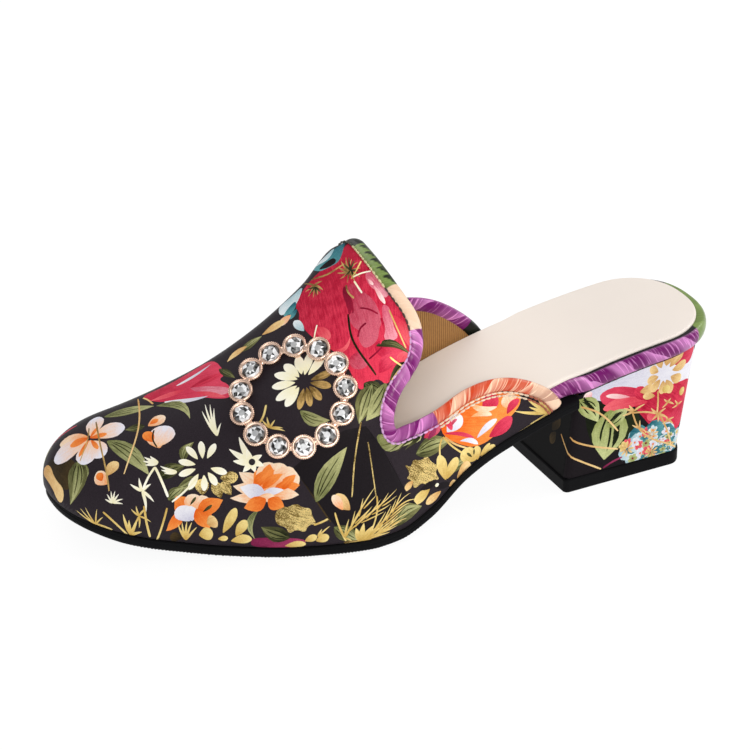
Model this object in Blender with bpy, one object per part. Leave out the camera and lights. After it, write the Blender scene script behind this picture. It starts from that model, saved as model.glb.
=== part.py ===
"""Closed-toe mule slipper, the left shoe of a pair, standing empty on its sole and block heel.

Sizes are millimetres, turned into metres when a mesh is made. X runs to the toe, Y to the outer side
of the left foot and Z up. Stations are counted from the back of the heel seat.
"""

import math

import bpy
import numpy as np

MM = 0.001
GAP = 0.3

LENGTH = 249.0
BALL_WIDTH = 76.0
INSTEP_HEIGHT = 94.5
HEEL_RISE = 43.0
TOE_SPRING = 12.2

WALL = 2.0
OUTSOLE_THICK = 4.2
OUTSOLE_PROUD = 0.7
OUTSOLE_TUCKED, OUTSOLE_TUCK_FROM = 1.4, 0.91
BAND_TALL = 5.0
BAND_THICK = 3.4
BAND_SIDES = 10
BAND_GAP = 0.45
LIFT_THICK = 5.2
FOOTBED_HEEL = 7.4
FOOTBED_TOE = 2.6
INSOLE_THICK = 1.2

LATERAL, MEDIAL = 1, -1

# Plan of the last: shares of the length, then shares of the ball width.
PLAN_COLUMNS = ("along", "axis", "lateral", "medial")
PLAN = (
    (0.000, 0.000, 0.365, 0.355),
    (0.114, 0.000, 0.374, 0.362),
    (0.268, 0.000, 0.378, 0.378),
    (0.386, -0.013, 0.388, 0.432),
    (0.508, -0.039, 0.450, 0.484),
    (0.618, -0.099, 0.522, 0.502),
    (0.711, -0.164, 0.502, 0.480),
    (0.793, -0.237, 0.462, 0.434),
    (0.874, -0.296, 0.402, 0.382),
    (1.000, -0.368, 0.325, 0.345),
)
HEEL_ROUND, HEEL_POWER = 28.0, 2.4
TOE_ROUND, TOE_POWER = 30.0, 2.4

# Underside of the sole behind the ball: shares of the length and of the heel rise.
UNDERSIDE_COLUMNS = ("along", "rise")
UNDERSIDE = (
    (0.000, 1.000),
    (0.122, 0.937),
    (0.268, 0.791),
    (0.362, 0.616),
    (0.447, 0.398),
    (0.508, 0.140),
    (0.556, 0.022),
    (0.595, 0.000),
)
FLAT_FROM, FLAT_TO = 0.595 * LENGTH, 0.640 * LENGTH
SPRING_POWER = 2.6

# Crown line of the vamp: place, height and how full the two half sections are.
RIDGE_COLUMNS = ("along", "across", "rise", "full_lateral", "full_medial")
RIDGE = (
    (0.244, -0.158, 1.070, 2.60, 2.40),
    (0.407, -0.224, 1.050, 2.70, 2.40),
    (0.504, -0.276, 1.000, 2.70, 2.40),
    (0.545, -0.283, 0.980, 2.65, 2.40),
    (0.589, -0.289, 0.848, 2.60, 2.40),
    (0.671, -0.300, 0.672, 2.50, 2.40),
    (0.752, -0.322, 0.553, 2.40, 2.35),
    (0.833, -0.345, 0.475, 2.35, 2.35),
    (0.915, -0.362, 0.422, 2.30, 2.30),
    (1.000, -0.368, 0.375, 2.30, 2.30),
)
RIDGE_ROUND, RIDGE_POWER = 26.0, 2.5
TUCK = math.radians(13)

# Topline from a wing's end to the middle of the tongue. The shares are of the half girth, counted
# from the feather edge, and "foot" is where on the feather edge the rib that ends there starts.
TOPLINE_COLUMNS = ("along", "lateral", "medial", "foot")
TOPLINE = (
    (0.290, 0.022, 0.030, 0.00),
    (0.302, 0.076, 0.111, 0.02),
    (0.334, 0.168, 0.252, 0.09),
    (0.384, 0.256, 0.385, 0.17),
    (0.515, 0.326, 0.452, 0.36),
    (0.574, 0.393, 0.462, 0.49),
    (0.575, 0.436, 0.515, 0.56),
    (0.526, 0.497, 0.640, 0.65),
    (0.513, 0.530, 0.700, 0.69),
    (0.507, 0.669, 0.765, 0.79),
    (0.511, 0.710, 0.825, 0.84),
    (0.512, 1.000, 1.000, 1.00),
)
GIRTH_SCALE = 110.0
RIBS = 32
ROWS = 11
ROW_POWER = 1.25
SECTION_POINTS = 40
STATIONS = 420
REAR_STATION = 60.0

# Rim of the footbed, of the insole and of the outsole: inset and share of the thickness.
FOOTBED_RIM = ((2.2, 0.0), (0.5, 0.18), (0.0, 0.5), (0.5, 0.82), (2.0, 1.0))
INSOLE_RIM = ((0.0, 0.0), (0.0, 0.6), (0.6, 1.0))
OUTSOLE_RIM = ((1.0, 0.0), (0.0, 0.25), (0.0, 0.8), (0.5, 1.0))
OUTLINE_STEPS, FINE_STEPS = 46, 160
BAND_START, BAND_END = 69.0, 59.0
INSIDE_UPPER = 3.1
INSOLE_MARGIN, INSOLE_MARGIN_FRONT = 2.3, 0.4
INSOLE_MARGIN_BACK, INSOLE_BACK_TO = 4.2, 24.0

# Heel block: share of the height, then the outline of that level.
HEEL_COLUMNS = ("level", "front", "back", "half_front", "half_back", "round", "power")
HEEL = (
    (0.00, 68.5, 15.6, 27.6, 26.2, 9.0, 2.9),
    (0.35, 66.9, 11.4, 27.4, 26.4, 13.5, 2.6),
    (0.70, 65.4, 7.0, 27.2, 26.5, 19.5, 2.4),
    (1.00, 64.4, 3.2, 27.0, 26.6, 26.0, 2.3),
)
HEEL_CORNER, HEEL_CORNER_CUT = 1.8, 0.54
HEEL_LEVELS = (0.0, 0.18, 0.35, 0.52, 0.70, 0.85, 1.0)
HEEL_SIDE_STEPS, HEEL_BACK_STEPS = 3, 8
# Rim of the top lift: how far it stands out beyond the heel, and height.
LIFT_RIM = ((0.2, 0.0), (0.7, 0.5), (0.7, LIFT_THICK))
OUTSOLE_END = 64.9

STONES = 13
RING_ALONG, RING_SHARE = 169.9, 0.636
RING_RADIUS = 18.9
RING_FACING = (0.36, 0.65, 0.64)
RING_ROUNDS = 6
CUP_RADIUS = 4.2
LINK_HALF = 1.6
PLATE_STANDS, PLATE_THICK = 0.4, 2.0
# Section of the plate: shares of its half width and of its thickness.
PLATE_SECTION = ((-1, 0), (0, 0), (1, 0), (1, 1), (0, 1), (-1, 1))
RING_STEPS = 6
STONE_SIDES = 10
# Stone: radius and height above its seat.
STONE_PROFILE = ((3.1, 0.0), (3.1, 0.5), (1.9, 1.5))

MATERIALS = {
    "print_satin": ((0.030, 0.026, 0.038), 0.0, 0.42),
    "binding_satin": ((0.20, 0.02, 0.24), 0.0, 0.40),
    "footbed_wrap": ((0.20, 0.02, 0.24), 0.0, 0.40),
    "insole_cover": ((0.80, 0.72, 0.65), 0.0, 0.55),
    "sole_rubber": ((0.025, 0.024, 0.026), 0.0, 0.60),
    "rose_gold": ((0.76, 0.48, 0.34), 1.0, 0.25),
    "crystal": ((0.85, 0.87, 0.90), 0.0, 0.05),
}


def through(table, columns, name, x):
    """Smooth curve through one column of a table, without bumps between its rows."""
    rows = np.array(table)
    at, value = rows[:, 0], rows[:, columns.index(name)]
    step, slope = np.diff(at), np.diff(value) / np.diff(at)
    tangent = np.zeros(len(at))
    for k in range(1, len(at) - 1):
        if slope[k - 1] * slope[k] > 0:
            before, after = 2 * step[k] + step[k - 1], step[k] + 2 * step[k - 1]
            tangent[k] = (before + after) / (before / slope[k - 1] + after / slope[k])
    tangent[0], tangent[-1] = slope[0], slope[-1]
    x = np.asarray(x, float)
    k = np.clip(np.searchsorted(at, x, side="right") - 1, 0, len(step) - 1)
    t = (x - at[k]) / step[k]
    rise = value[k + 1] - value[k]
    lead, trail = tangent[k] * step[k], tangent[k + 1] * step[k]
    return value[k] + t * (lead + t * (3 * rise - 2 * lead - trail + t * (lead + trail - 2 * rise)))


def spline(at, value, x):
    """Natural cubic spline."""
    at, value = np.asarray(at, float), np.asarray(value, float)
    step, slope = np.diff(at), np.diff(value) / np.diff(at)
    count = len(at)
    system, side = np.eye(count), np.zeros(count)
    for k in range(1, count - 1):
        system[k, k - 1 : k + 2] = step[k - 1], 2 * (step[k - 1] + step[k]), step[k]
        side[k] = 6 * (slope[k] - slope[k - 1])
    bend = np.linalg.solve(system, side)
    x = np.asarray(x, float)
    k = np.clip(np.searchsorted(at, x, side="right") - 1, 0, len(step) - 1)
    d = x - at[k]
    lead = slope[k] - step[k] * (2 * bend[k] + bend[k + 1]) / 6
    return value[k] + d * (lead + d * (bend[k] / 2 + d * (bend[k + 1] - bend[k]) / (6 * step[k])))


def lengths(points):
    return np.r_[0.0, np.cumsum(np.linalg.norm(np.diff(points, axis=0), axis=1))]


def ease(x, start, end):
    t = np.clip((np.asarray(x, float) - start) / (end - start), 0, 1)
    return t * t * (3 - 2 * t)


def rounding(x, size, power):
    """1 along the form, falling to 0 at x = size as a round end does."""
    return (1 - np.clip(x / size, 0, 1) ** power) ** (1 / power)


def axis(x):
    return BALL_WIDTH * through(PLAN, PLAN_COLUMNS, "axis", np.asarray(x) / LENGTH)


def edge(x, side):
    """Y of the feather edge."""
    x = np.asarray(x, float)
    name = "lateral" if side == LATERAL else "medial"
    half = BALL_WIDTH * through(PLAN, PLAN_COLUMNS, name, x / LENGTH)
    heel = rounding(HEEL_ROUND - x, HEEL_ROUND, HEEL_POWER)
    toe = rounding(x - LENGTH + TOE_ROUND, TOE_ROUND, TOE_POWER)
    return axis(x) + side * half * heel * toe


def underside(x):
    x = np.asarray(x, float)
    rear = HEEL_RISE * through(UNDERSIDE, UNDERSIDE_COLUMNS, "rise", np.minimum(x, FLAT_FROM) / LENGTH)
    ahead = np.clip((x - FLAT_TO) / (LENGTH - FLAT_TO), 0, None)
    return np.where(x < FLAT_FROM, rear, TOE_SPRING * ahead**SPRING_POWER)


def feather(x):
    """Height at which the upper and the footbed sit on the sole."""
    return underside(x) + OUTSOLE_THICK + GAP


def ridge(x):
    x = np.asarray(x, float)
    low = feather(x)
    rise = INSTEP_HEIGHT * through(RIDGE, RIDGE_COLUMNS, "rise", x / LENGTH) - low
    across = BALL_WIDTH * through(RIDGE, RIDGE_COLUMNS, "across", x / LENGTH)
    front = rounding(x - LENGTH + RIDGE_ROUND, RIDGE_ROUND, RIDGE_POWER)
    return np.stack([x, across, low + rise * front], -1)


def half_section(x, side):
    """Points of the upper's outside from the feather edge to the crown at one station."""
    turn = np.linspace(-TUCK, math.pi / 2, SECTION_POINTS)
    name = "full_lateral" if side == LATERAL else "full_medial"
    power = 2 / float(through(RIDGE, RIDGE_COLUMNS, name, x / LENGTH))
    top, low = ridge(x), float(feather(x))
    reach = np.abs(np.cos(turn)) ** power / math.cos(TUCK) ** power
    rise = np.sign(turn) * np.abs(np.sin(turn)) ** power
    sink = math.sin(TUCK) ** power
    y = top[1] + (edge(x, side) - top[1]) * reach
    z = low + (top[2] - low) * (rise + sink) / (1 + sink)
    return np.stack([np.full(SECTION_POINTS, float(x)), y, z], -1)


class Pattern:
    """Flat pattern of half of the upper: p runs from the crown down, q along the crown to the toe."""

    def __init__(self, side):
        self.side = side
        back = 1 - np.linspace(0, 1, STATIONS)
        self.x = LENGTH - (LENGTH - REAR_STATION) * back**2
        self.q = lengths(ridge(self.x))
        self.girth = np.array([lengths(half_section(x, side))[-1] for x in self.x])
        self.feather_run = lengths(np.stack([self.x, edge(self.x, side), feather(self.x)], -1))

    def flat(self, x, share):
        return np.array([(1 - share) * np.interp(x, self.x, self.girth), np.interp(x, self.x, self.q)])

    def surface(self, p, q):
        x = float(np.interp(q, self.q, self.x))
        section = half_section(x, self.side)
        run = lengths(section)
        along = run[-1] - p
        return np.array([np.interp(along, run, section[:, k]) for k in range(3)])

    def normal(self, p, q):
        step = 0.5
        q = min(q, self.q[-1] - 2 * step)
        p = min(p, np.interp(q, self.q, self.girth) - step)
        down = self.surface(p + step, q) - self.surface(max(p - step, 0), q)
        ahead = self.surface(p, q + step) - self.surface(p, q - step)
        out = np.cross(ahead, down) * self.side
        return out / np.linalg.norm(out)

    def topline(self):
        """Flat points of the topline and the shares of the feather edge where their ribs start."""
        rows = np.array(TOPLINE)
        name = "lateral" if self.side == LATERAL else "medial"
        along, share = rows[:, 0] * LENGTH, rows[:, TOPLINE_COLUMNS.index(name)]
        foot = rows[:, TOPLINE_COLUMNS.index("foot")]
        run = lengths(np.stack([along, share * GIRTH_SCALE], -1))
        t = np.linspace(0, run[-1], STATIONS)
        line = [self.flat(x, s) for x, s in zip(spline(run, along, t), spline(run, share, t))]
        return np.array(line), np.clip(spline(run, foot, t), 0, 1)

    def ribs(self, steps, rows):
        """Flat points of the sheet, a row of ribs from the feather edge to the edge under the binding."""
        line, foot = self.topline()
        tangent = np.gradient(line, axis=0)
        tangent[-1] = (-1.0, 0.0)
        inward = np.stack([-tangent[:, 1], tangent[:, 0]], -1)
        inward /= np.linalg.norm(inward, axis=1)[:, None]
        inward *= np.sign(inward[-1, 1])
        top = line + inward * (BAND_TALL + BAND_GAP)
        top[-1, 0] = 0.0
        run = lengths(top)
        even = np.linspace(0, run[-1], steps)
        foot = np.interp(even, run, foot)
        top = np.stack([np.interp(even, run, top[:, k]) for k in range(2)], -1)
        start_x = np.interp(top[0, 1], self.q, self.x)
        start = np.interp(start_x, self.x, self.feather_run)
        run = start + foot * (self.feather_run[-1] - start)
        foot_x = np.interp(run, self.feather_run, self.x)
        low = np.stack([np.interp(foot_x, self.x, self.girth), np.interp(foot_x, self.x, self.q)], -1)
        low[-1, 0] = 0.0
        v = np.linspace(0, 1, rows)[None, :, None] ** ROW_POWER
        return low[:, None] * (1 - v) + top[:, None] * v


def outline(inset, steps=OUTLINE_STEPS):
    """Closed plan from the toe along the outer side to the heel and back, drawn in by inset(x)."""
    turn = np.linspace(0, math.pi, steps + 1)
    x = LENGTH * (1 + np.cos(turn)) / 2
    there = np.stack([x, edge(x, LATERAL)], -1)
    back = np.stack([x, edge(x, MEDIAL)], -1)[-2:0:-1]
    loop = np.concatenate([there, back])
    tangent = np.roll(loop, -1, axis=0) - np.roll(loop, 1, axis=0)
    inward = np.stack([-tangent[:, 1], tangent[:, 0]], -1)
    inward /= np.linalg.norm(inward, axis=1)[:, None]
    return loop + inward * inset(loop[:, 0])[:, None]


def solid(name, points, faces, material):
    """One mesh object, its faces turned outwards."""
    points = np.asarray(points, float)
    volume = 0.0
    for face in faces:
        for k in range(1, len(face) - 1):
            volume += np.dot(points[face[0]], np.cross(points[face[k]], points[face[k + 1]]))
    if volume < 0:
        faces = [face[::-1] for face in faces]
    mesh = bpy.data.meshes.new(name)
    mesh.from_pydata((points * MM).tolist(), [], faces)
    mesh.materials.append(bpy.data.materials[material])
    body = bpy.data.objects.new(name, mesh)
    bpy.context.scene.collection.objects.link(body)
    return body


def ring_faces(rings, count):
    """Quads between rings of points that follow one another in a list."""
    faces = []
    for r in range(rings - 1):
        for k in range(count):
            n = (k + 1) % count
            faces.append((r * count + k, r * count + n, (r + 1) * count + n, (r + 1) * count + k))
    return faces


def ladder(start, count, turned):
    """Cap of a closed ring, in rungs between the points that face each other across it."""
    faces = [(start, start + 1, start + count - 1)]
    for k in range(1, count // 2 - 1):
        faces.append((start + k, start + k + 1, start + count - k - 1, start + count - k))
    half = count // 2
    faces.append((start + half - 1, start + half, start + half + 1))
    return [face[::-1] for face in faces] if turned else faces


def slab(name, material, inset, rim, low, thick):
    """A sheet that follows the sole: rings of the outline stacked as its rim says."""
    points = []
    for more, rise in rim:
        loop = outline(lambda x, more=more: inset(x) + more)
        height = low(loop[:, 0]) + rise * thick(loop[:, 0])
        points.append(np.column_stack([loop, height]))
    count = len(points[0])
    faces = ring_faces(len(rim), count)
    faces += ladder(0, count, True) + ladder((len(rim) - 1) * count, count, False)
    return solid(name, np.concatenate(points), faces, material)


def upper_sheet():
    """Outside of the upper and its normals, rib by rib from the outer wing's end to the inner one's."""
    places, normals = [], []
    for side in (LATERAL, MEDIAL):
        pattern = Pattern(side)
        ribs = pattern.ribs(RIBS + 1, ROWS)
        places.append(np.array([[pattern.surface(p, q) for p, q in rib] for rib in ribs]))
        normals.append(np.array([[pattern.normal(p, q) for p, q in rib] for rib in ribs]))
    middle = normals[0][-1] + normals[1][-1]
    normals[0][-1] = middle / np.linalg.norm(middle, axis=1)[:, None]
    return [np.concatenate([both[0], both[1][-2::-1]]) for both in (places, normals)]


def build_upper(sheet, normals):
    ribs, rows = sheet.shape[:2]
    points = np.concatenate([sheet.reshape(-1, 3), (sheet - WALL * normals).reshape(-1, 3)])
    inner = ribs * rows
    faces = []
    for i in range(ribs - 1):
        for j in range(rows - 1):
            a, b = i * rows + j, (i + 1) * rows + j
            faces.append((a, b, b + 1, a + 1))
            faces.append((inner + a, inner + a + 1, inner + b + 1, inner + b))
        for j, flip in ((0, False), (rows - 1, True)):
            a, b = i * rows + j, (i + 1) * rows + j
            face = (a, inner + a, inner + b, b)
            faces.append(face[::-1] if flip else face)
    for i, flip in ((0, True), (ribs - 1, False)):
        for j in range(rows - 1):
            a = i * rows + j
            face = (a, inner + a, inner + a + 1, a + 1)
            faces.append(face[::-1] if flip else face)
    return solid("upper", points, faces, "print_satin")


def build_binding(sheet, normals):
    """Rolled strip that sits on the topline, swept from the upper's own edge."""
    rim, normal = sheet[:, -1], normals[:, -1]
    tangent = np.gradient(rim, axis=0)
    tangent /= np.linalg.norm(tangent, axis=1)[:, None]
    beyond = np.cross(tangent, normal)
    beyond *= np.sign((beyond * (sheet[:, -1] - sheet[:, -2])).sum())
    beyond /= np.linalg.norm(beyond, axis=1)[:, None]
    turns = np.arange(BAND_SIDES) * 2 * math.pi / BAND_SIDES
    centre = rim + beyond * (BAND_GAP + BAND_TALL / 2) - normal * WALL / 2
    tall, thick = beyond * BAND_TALL / 2, normal * BAND_THICK / 2
    points = np.stack([centre + tall * math.cos(t) + thick * math.sin(t) for t in turns], 1)
    floor = feather(points[:, :, 0])
    points[:, :, 2] = np.maximum(points[:, :, 2], floor)
    count = len(rim)
    faces = ring_faces(count, BAND_SIDES)
    last = (count - 1) * BAND_SIDES
    faces += [tuple(range(BAND_SIDES))[::-1], tuple(range(last, last + BAND_SIDES))]
    return solid("collar_binding", points.reshape(-1, 3), faces, "binding_satin")


def footbed_inset(x):
    return INSIDE_UPPER * (1 - ease(x, BAND_START, BAND_END))


def footbed_thick(x):
    return FOOTBED_TOE + (FOOTBED_HEEL - FOOTBED_TOE) * ease(x, FLAT_FROM, BAND_START)


def footbed_top(x):
    return feather(x) + footbed_thick(x)


def insole_inset(x):
    margin = INSOLE_MARGIN + (INSOLE_MARGIN_FRONT - INSOLE_MARGIN) * ease(x, BAND_END, BAND_START)
    margin += (INSOLE_MARGIN_BACK - INSOLE_MARGIN) * ease(x, INSOLE_BACK_TO, 0)
    return footbed_inset(x) + margin


def outsole_proud(x):
    """How far the sole stands out beyond the upper: it draws in under the toe."""
    return OUTSOLE_PROUD - OUTSOLE_TUCKED * ease(x, OUTSOLE_TUCK_FROM * LENGTH, LENGTH)


def build_outsole():
    """The sole from the heel's front to the toe, its outline a little proud of the upper."""
    turn = np.linspace(0, math.pi / 2, OUTLINE_STEPS)
    stations = OUTSOLE_END + (LENGTH - OUTSOLE_END) * np.sin(turn)
    points = []
    for inset, rise in OUTSOLE_RIM:
        wide = outline(lambda x, inset=inset: inset - outsole_proud(x), FINE_STEPS)
        lateral = wide[: FINE_STEPS + 1]
        medial = np.concatenate([wide[FINE_STEPS:], wide[:1]])[::-1]
        front = lateral[:, 0].max()
        x = np.minimum(stations, front)
        near = np.interp(x, lateral[::-1, 0], lateral[::-1, 1])
        far = np.interp(x, medial[::-1, 0], medial[::-1, 1])
        loop = np.concatenate([np.stack([x, near], -1), np.stack([x, far], -1)[::-1]])
        height = underside(loop[:, 0]) + rise * OUTSOLE_THICK
        points.append(np.column_stack([loop, height]))
    count = len(points[0])
    faces = ring_faces(len(OUTSOLE_RIM), count)
    for level, turned in ((0, True), (len(OUTSOLE_RIM) - 1, False)):
        start = level * count
        for k in range(count // 2 - 1):
            face = (start + k, start + k + 1, start + count - k - 2, start + count - k - 1)
            faces.append(face[::-1] if turned else face)
    return solid("outsole", np.concatenate(points), faces, "sole_rubber")


def heel_ring(level, outset=0.0):
    """Plan of the heel at a share of its height, from the front round the outer side and the back."""
    name_of = HEEL_COLUMNS[1:]
    front, back, half_front, half_back, size, power = (
        float(through(HEEL, HEEL_COLUMNS, name, level)) for name in name_of
    )
    front, back = front + outset, back - outset
    half_front, half_back, size = half_front + outset, half_back + outset, size + outset
    bend = back + size
    half = [(front, half_front - HEEL_CORNER), (front - HEEL_CORNER_CUT, half_front - HEEL_CORNER_CUT)]
    for t in np.linspace(0, 1, HEEL_SIDE_STEPS + 1):
        x = front - HEEL_CORNER + t * (bend - front + HEEL_CORNER)
        half.append((x, half_front + t * (half_back - half_front)))
    for t in np.linspace(0, math.pi / 2, HEEL_BACK_STEPS + 1)[1:]:
        half.append((bend - size * math.sin(t) ** (2 / power), half_back * math.cos(t) ** (2 / power)))
    half[-1] = (back, 0.0)
    other = [(x, -y) for x, y in half[-2::-1]]
    return np.array(half + other)


def heel_caps(start, count, turned):
    faces = []
    for k in range(count // 2 - 1):
        faces.append((start + k, start + k + 1, start + count - k - 2, start + count - k - 1))
    half = count // 2
    faces.append((start + half - 1, start + half, start + half + 1))
    return [face[::-1] for face in faces] if turned else faces


def stack(name, rings, material):
    count = len(rings[0])
    faces = ring_faces(len(rings), count)
    faces += heel_caps(0, count, True) + heel_caps((len(rings) - 1) * count, count, False)
    return solid(name, np.concatenate(rings), faces, material)


def build_heel():
    low = LIFT_THICK + GAP
    rings = []
    for level in HEEL_LEVELS:
        ring = heel_ring(level)
        top = feather(ring[:, 0]) - GAP
        rings.append(np.column_stack([ring, low + level * (top - low)]))
    return stack("heel_block", rings, "print_satin")


def build_lift():
    rings = []
    for outset, height in LIFT_RIM:
        ring = heel_ring(0.0, outset)
        rings.append(np.column_stack([ring, np.full(len(ring), height)]))
    return stack("top_lift", rings, "sole_rubber")


def ring_place(pattern, turn, radius):
    """Flat point of the upper that lies on the ornament's ring, seen along the way the ring faces."""
    facing = np.array(RING_FACING) / np.linalg.norm(RING_FACING)
    right = np.cross((0.0, 0.0, 1.0), facing)
    right /= np.linalg.norm(right)
    plane = np.stack([right, np.cross(facing, right)])
    place = pattern.flat(RING_ALONG, RING_SHARE)
    wanted = plane @ pattern.surface(*place) + radius * np.array([math.sin(turn), math.cos(turn)])
    step = 0.2
    for _ in range(RING_ROUNDS):
        here = plane @ pattern.surface(*place)
        slope = [(plane @ pattern.surface(*(place + step * unit)) - here) / step for unit in np.eye(2)]
        place = place + np.linalg.solve(np.stack(slope, -1), wanted - here)
    return place


def build_frame(pattern):
    """Scalloped plate under the stones, laid on the upper's outside."""
    stations = STONES * RING_STEPS
    pitch = 2 * math.pi / STONES
    points = []
    for k in range(stations):
        turn = 2 * math.pi * k / stations
        off = (turn + pitch / 2) % pitch - pitch / 2
        chord = RING_RADIUS * off
        half = max(LINK_HALF, math.sqrt(max(CUP_RADIUS**2 - chord**2, 0)))
        for aside, stands in PLATE_SECTION:
            p, q = ring_place(pattern, turn, RING_RADIUS + aside * half)
            rise = PLATE_STANDS + stands * PLATE_THICK
            points.append(pattern.surface(p, q) + pattern.normal(p, q) * rise)
    count = len(PLATE_SECTION)
    faces = []
    for k in range(stations):
        here, ahead = k * count, (k + 1) % stations * count
        for j in range(count):
            m = (j + 1) % count
            faces.append((here + j, here + m, ahead + m, ahead + j))
    return solid("ornament_frame", points, faces, "rose_gold")


def build_stone(pattern, number):
    p, q = ring_place(pattern, 2 * math.pi * number / STONES, RING_RADIUS)
    up = pattern.normal(p, q)
    seat = pattern.surface(p, q) + up * (PLATE_STANDS + PLATE_THICK + GAP)
    first = np.cross(up, (0.0, 0.0, 1.0))
    first /= np.linalg.norm(first)
    second = np.cross(up, first)
    points = []
    for radius, height in STONE_PROFILE:
        for k in range(STONE_SIDES):
            turn = 2 * math.pi * k / STONE_SIDES
            aside = first * math.cos(turn) + second * math.sin(turn)
            points.append(seat + up * height + aside * radius)
    faces = ring_faces(len(STONE_PROFILE), STONE_SIDES)
    last = (len(STONE_PROFILE) - 1) * STONE_SIDES
    faces += [tuple(range(STONE_SIDES))[::-1], tuple(range(last, last + STONE_SIDES))]
    return solid(f"stone_{number + 1:02d}", points, faces, "crystal")


def make_materials():
    for name, (colour, metallic, roughness) in MATERIALS.items():
        material = bpy.data.materials.new(name)
        material.use_nodes = True
        shader = material.node_tree.nodes["Principled BSDF"]
        shader.inputs["Base Color"].default_value = (*colour, 1.0)
        shader.inputs["Metallic"].default_value = metallic
        shader.inputs["Roughness"].default_value = roughness


def centre_on_floor(bodies):
    """Moves the whole so that the middle of its box on the floor is the origin."""
    corners = np.array([vertex.co for body in bodies for vertex in body.data.vertices])
    low, high = corners.min(axis=0), corners.max(axis=0)
    shift = ((low[0] + high[0]) / 2, (low[1] + high[1]) / 2, low[2])
    for body in bodies:
        for vertex in body.data.vertices:
            vertex.co = [vertex.co[k] - shift[k] for k in range(3)]


def main():
    for old in list(bpy.data.objects):
        bpy.data.objects.remove(old)
    make_materials()
    sheet, normals = upper_sheet()
    pattern = Pattern(LATERAL)
    bodies = [
        build_upper(sheet, normals),
        build_binding(sheet, normals),
        build_outsole(),
        build_heel(),
        build_lift(),
        slab("footbed", "footbed_wrap", footbed_inset, FOOTBED_RIM, feather, footbed_thick),
        slab(
            "insole",
            "insole_cover",
            insole_inset,
            INSOLE_RIM,
            lambda x: footbed_top(x) + GAP,
            lambda x: np.full(x.shape, INSOLE_THICK),
        ),
        build_frame(pattern),
    ]
    bodies += [build_stone(pattern, number) for number in range(STONES)]
    centre_on_floor(bodies)


main()
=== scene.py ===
"""Dressed scene of the left mule slipper: printed satin, rolled binding, rubber sole and crystal ring.

Sizes are millimetres in the last's own frame, X from the back of the heel seat to the toe, Y to the outer
side and Z up, and are turned into the row's metres when a mesh is made.
"""

import math
from types import SimpleNamespace

import bpy
import numpy as np
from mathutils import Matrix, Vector
from mathutils.geometry import delaunay_2d_cdt


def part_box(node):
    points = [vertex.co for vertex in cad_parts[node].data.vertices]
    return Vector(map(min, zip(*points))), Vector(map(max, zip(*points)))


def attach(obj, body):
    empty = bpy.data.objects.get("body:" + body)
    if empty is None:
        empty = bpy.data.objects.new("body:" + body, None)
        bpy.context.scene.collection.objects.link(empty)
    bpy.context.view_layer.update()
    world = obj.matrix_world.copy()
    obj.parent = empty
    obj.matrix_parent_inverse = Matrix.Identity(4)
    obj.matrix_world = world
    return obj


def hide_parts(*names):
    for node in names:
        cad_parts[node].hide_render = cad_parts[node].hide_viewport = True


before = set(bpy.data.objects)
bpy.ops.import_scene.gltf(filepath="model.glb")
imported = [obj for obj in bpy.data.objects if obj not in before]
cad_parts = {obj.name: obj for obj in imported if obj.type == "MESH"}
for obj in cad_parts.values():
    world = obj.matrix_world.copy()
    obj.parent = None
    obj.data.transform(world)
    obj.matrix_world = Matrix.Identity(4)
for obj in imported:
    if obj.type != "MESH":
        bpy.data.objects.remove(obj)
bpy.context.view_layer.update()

MM = 0.001
GAP = 0.3
LENGTH = 249.0
BALL_WIDTH = 76.0
INSTEP_HEIGHT = 94.5
HEEL_RISE = 43.0
TOE_SPRING = 12.2
WALL = 2.0
OUTSOLE_THICK = 4.2
OUTSOLE_PROUD = 0.7
OUTSOLE_TUCKED, OUTSOLE_TUCK_FROM = 1.4, 0.91
BAND_TALL = 5.0
BAND_THICK = 3.4
LIFT_THICK = 5.2
FOOTBED_HEEL = 7.4
FOOTBED_TOE = 2.6
INSOLE_THICK = 1.2
LATERAL, MEDIAL = 1, -1
SIDE_NAMES = {LATERAL: "lateral", MEDIAL: "medial"}

# The row's origin, in the last's own frame: the lift is centred on Y = 0 and its front is at LIFT_FRONT.
LIFT_FRONT = 69.2
lift_low, lift_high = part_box("top_lift")
ORIGIN = np.array([LIFT_FRONT - lift_high.x / MM, -(lift_low.y + lift_high.y) / 2 / MM, 0.0])

# Camera that sees the shoe as the photograph does.
PICTURE = 750.0
FOCUS = 3025.0
CAMERA_AZIMUTH, CAMERA_ELEVATION = math.radians(26.4), math.radians(27.8)
CAMERA_DISTANCE = 1100.0
CAMERA_TARGET = np.array([128.5, -9.5, 45.6])
SENSOR = 36.0

# Plan of the last: shares of the length, then shares of the ball width.
PLAN_COLUMNS = ("along", "axis", "lateral", "medial")
PLAN = (
    (0.000, 0.000, 0.365, 0.355),
    (0.114, 0.000, 0.374, 0.362),
    (0.268, 0.000, 0.378, 0.378),
    (0.386, -0.013, 0.388, 0.432),
    (0.508, -0.039, 0.450, 0.484),
    (0.618, -0.099, 0.522, 0.502),
    (0.711, -0.164, 0.502, 0.480),
    (0.793, -0.237, 0.462, 0.434),
    (0.874, -0.296, 0.402, 0.382),
    (1.000, -0.368, 0.325, 0.345),
)
HEEL_ROUND, HEEL_POWER = 28.0, 2.4
TOE_ROUND, TOE_POWER = 30.0, 2.4

# Underside of the sole behind the ball: shares of the length and of the heel rise.
UNDERSIDE_COLUMNS = ("along", "rise")
UNDERSIDE = (
    (0.000, 1.000),
    (0.122, 0.937),
    (0.268, 0.791),
    (0.362, 0.616),
    (0.447, 0.398),
    (0.508, 0.140),
    (0.556, 0.022),
    (0.595, 0.000),
)
FLAT_FROM, FLAT_TO = 0.595 * LENGTH, 0.640 * LENGTH
SPRING_POWER = 2.6

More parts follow.
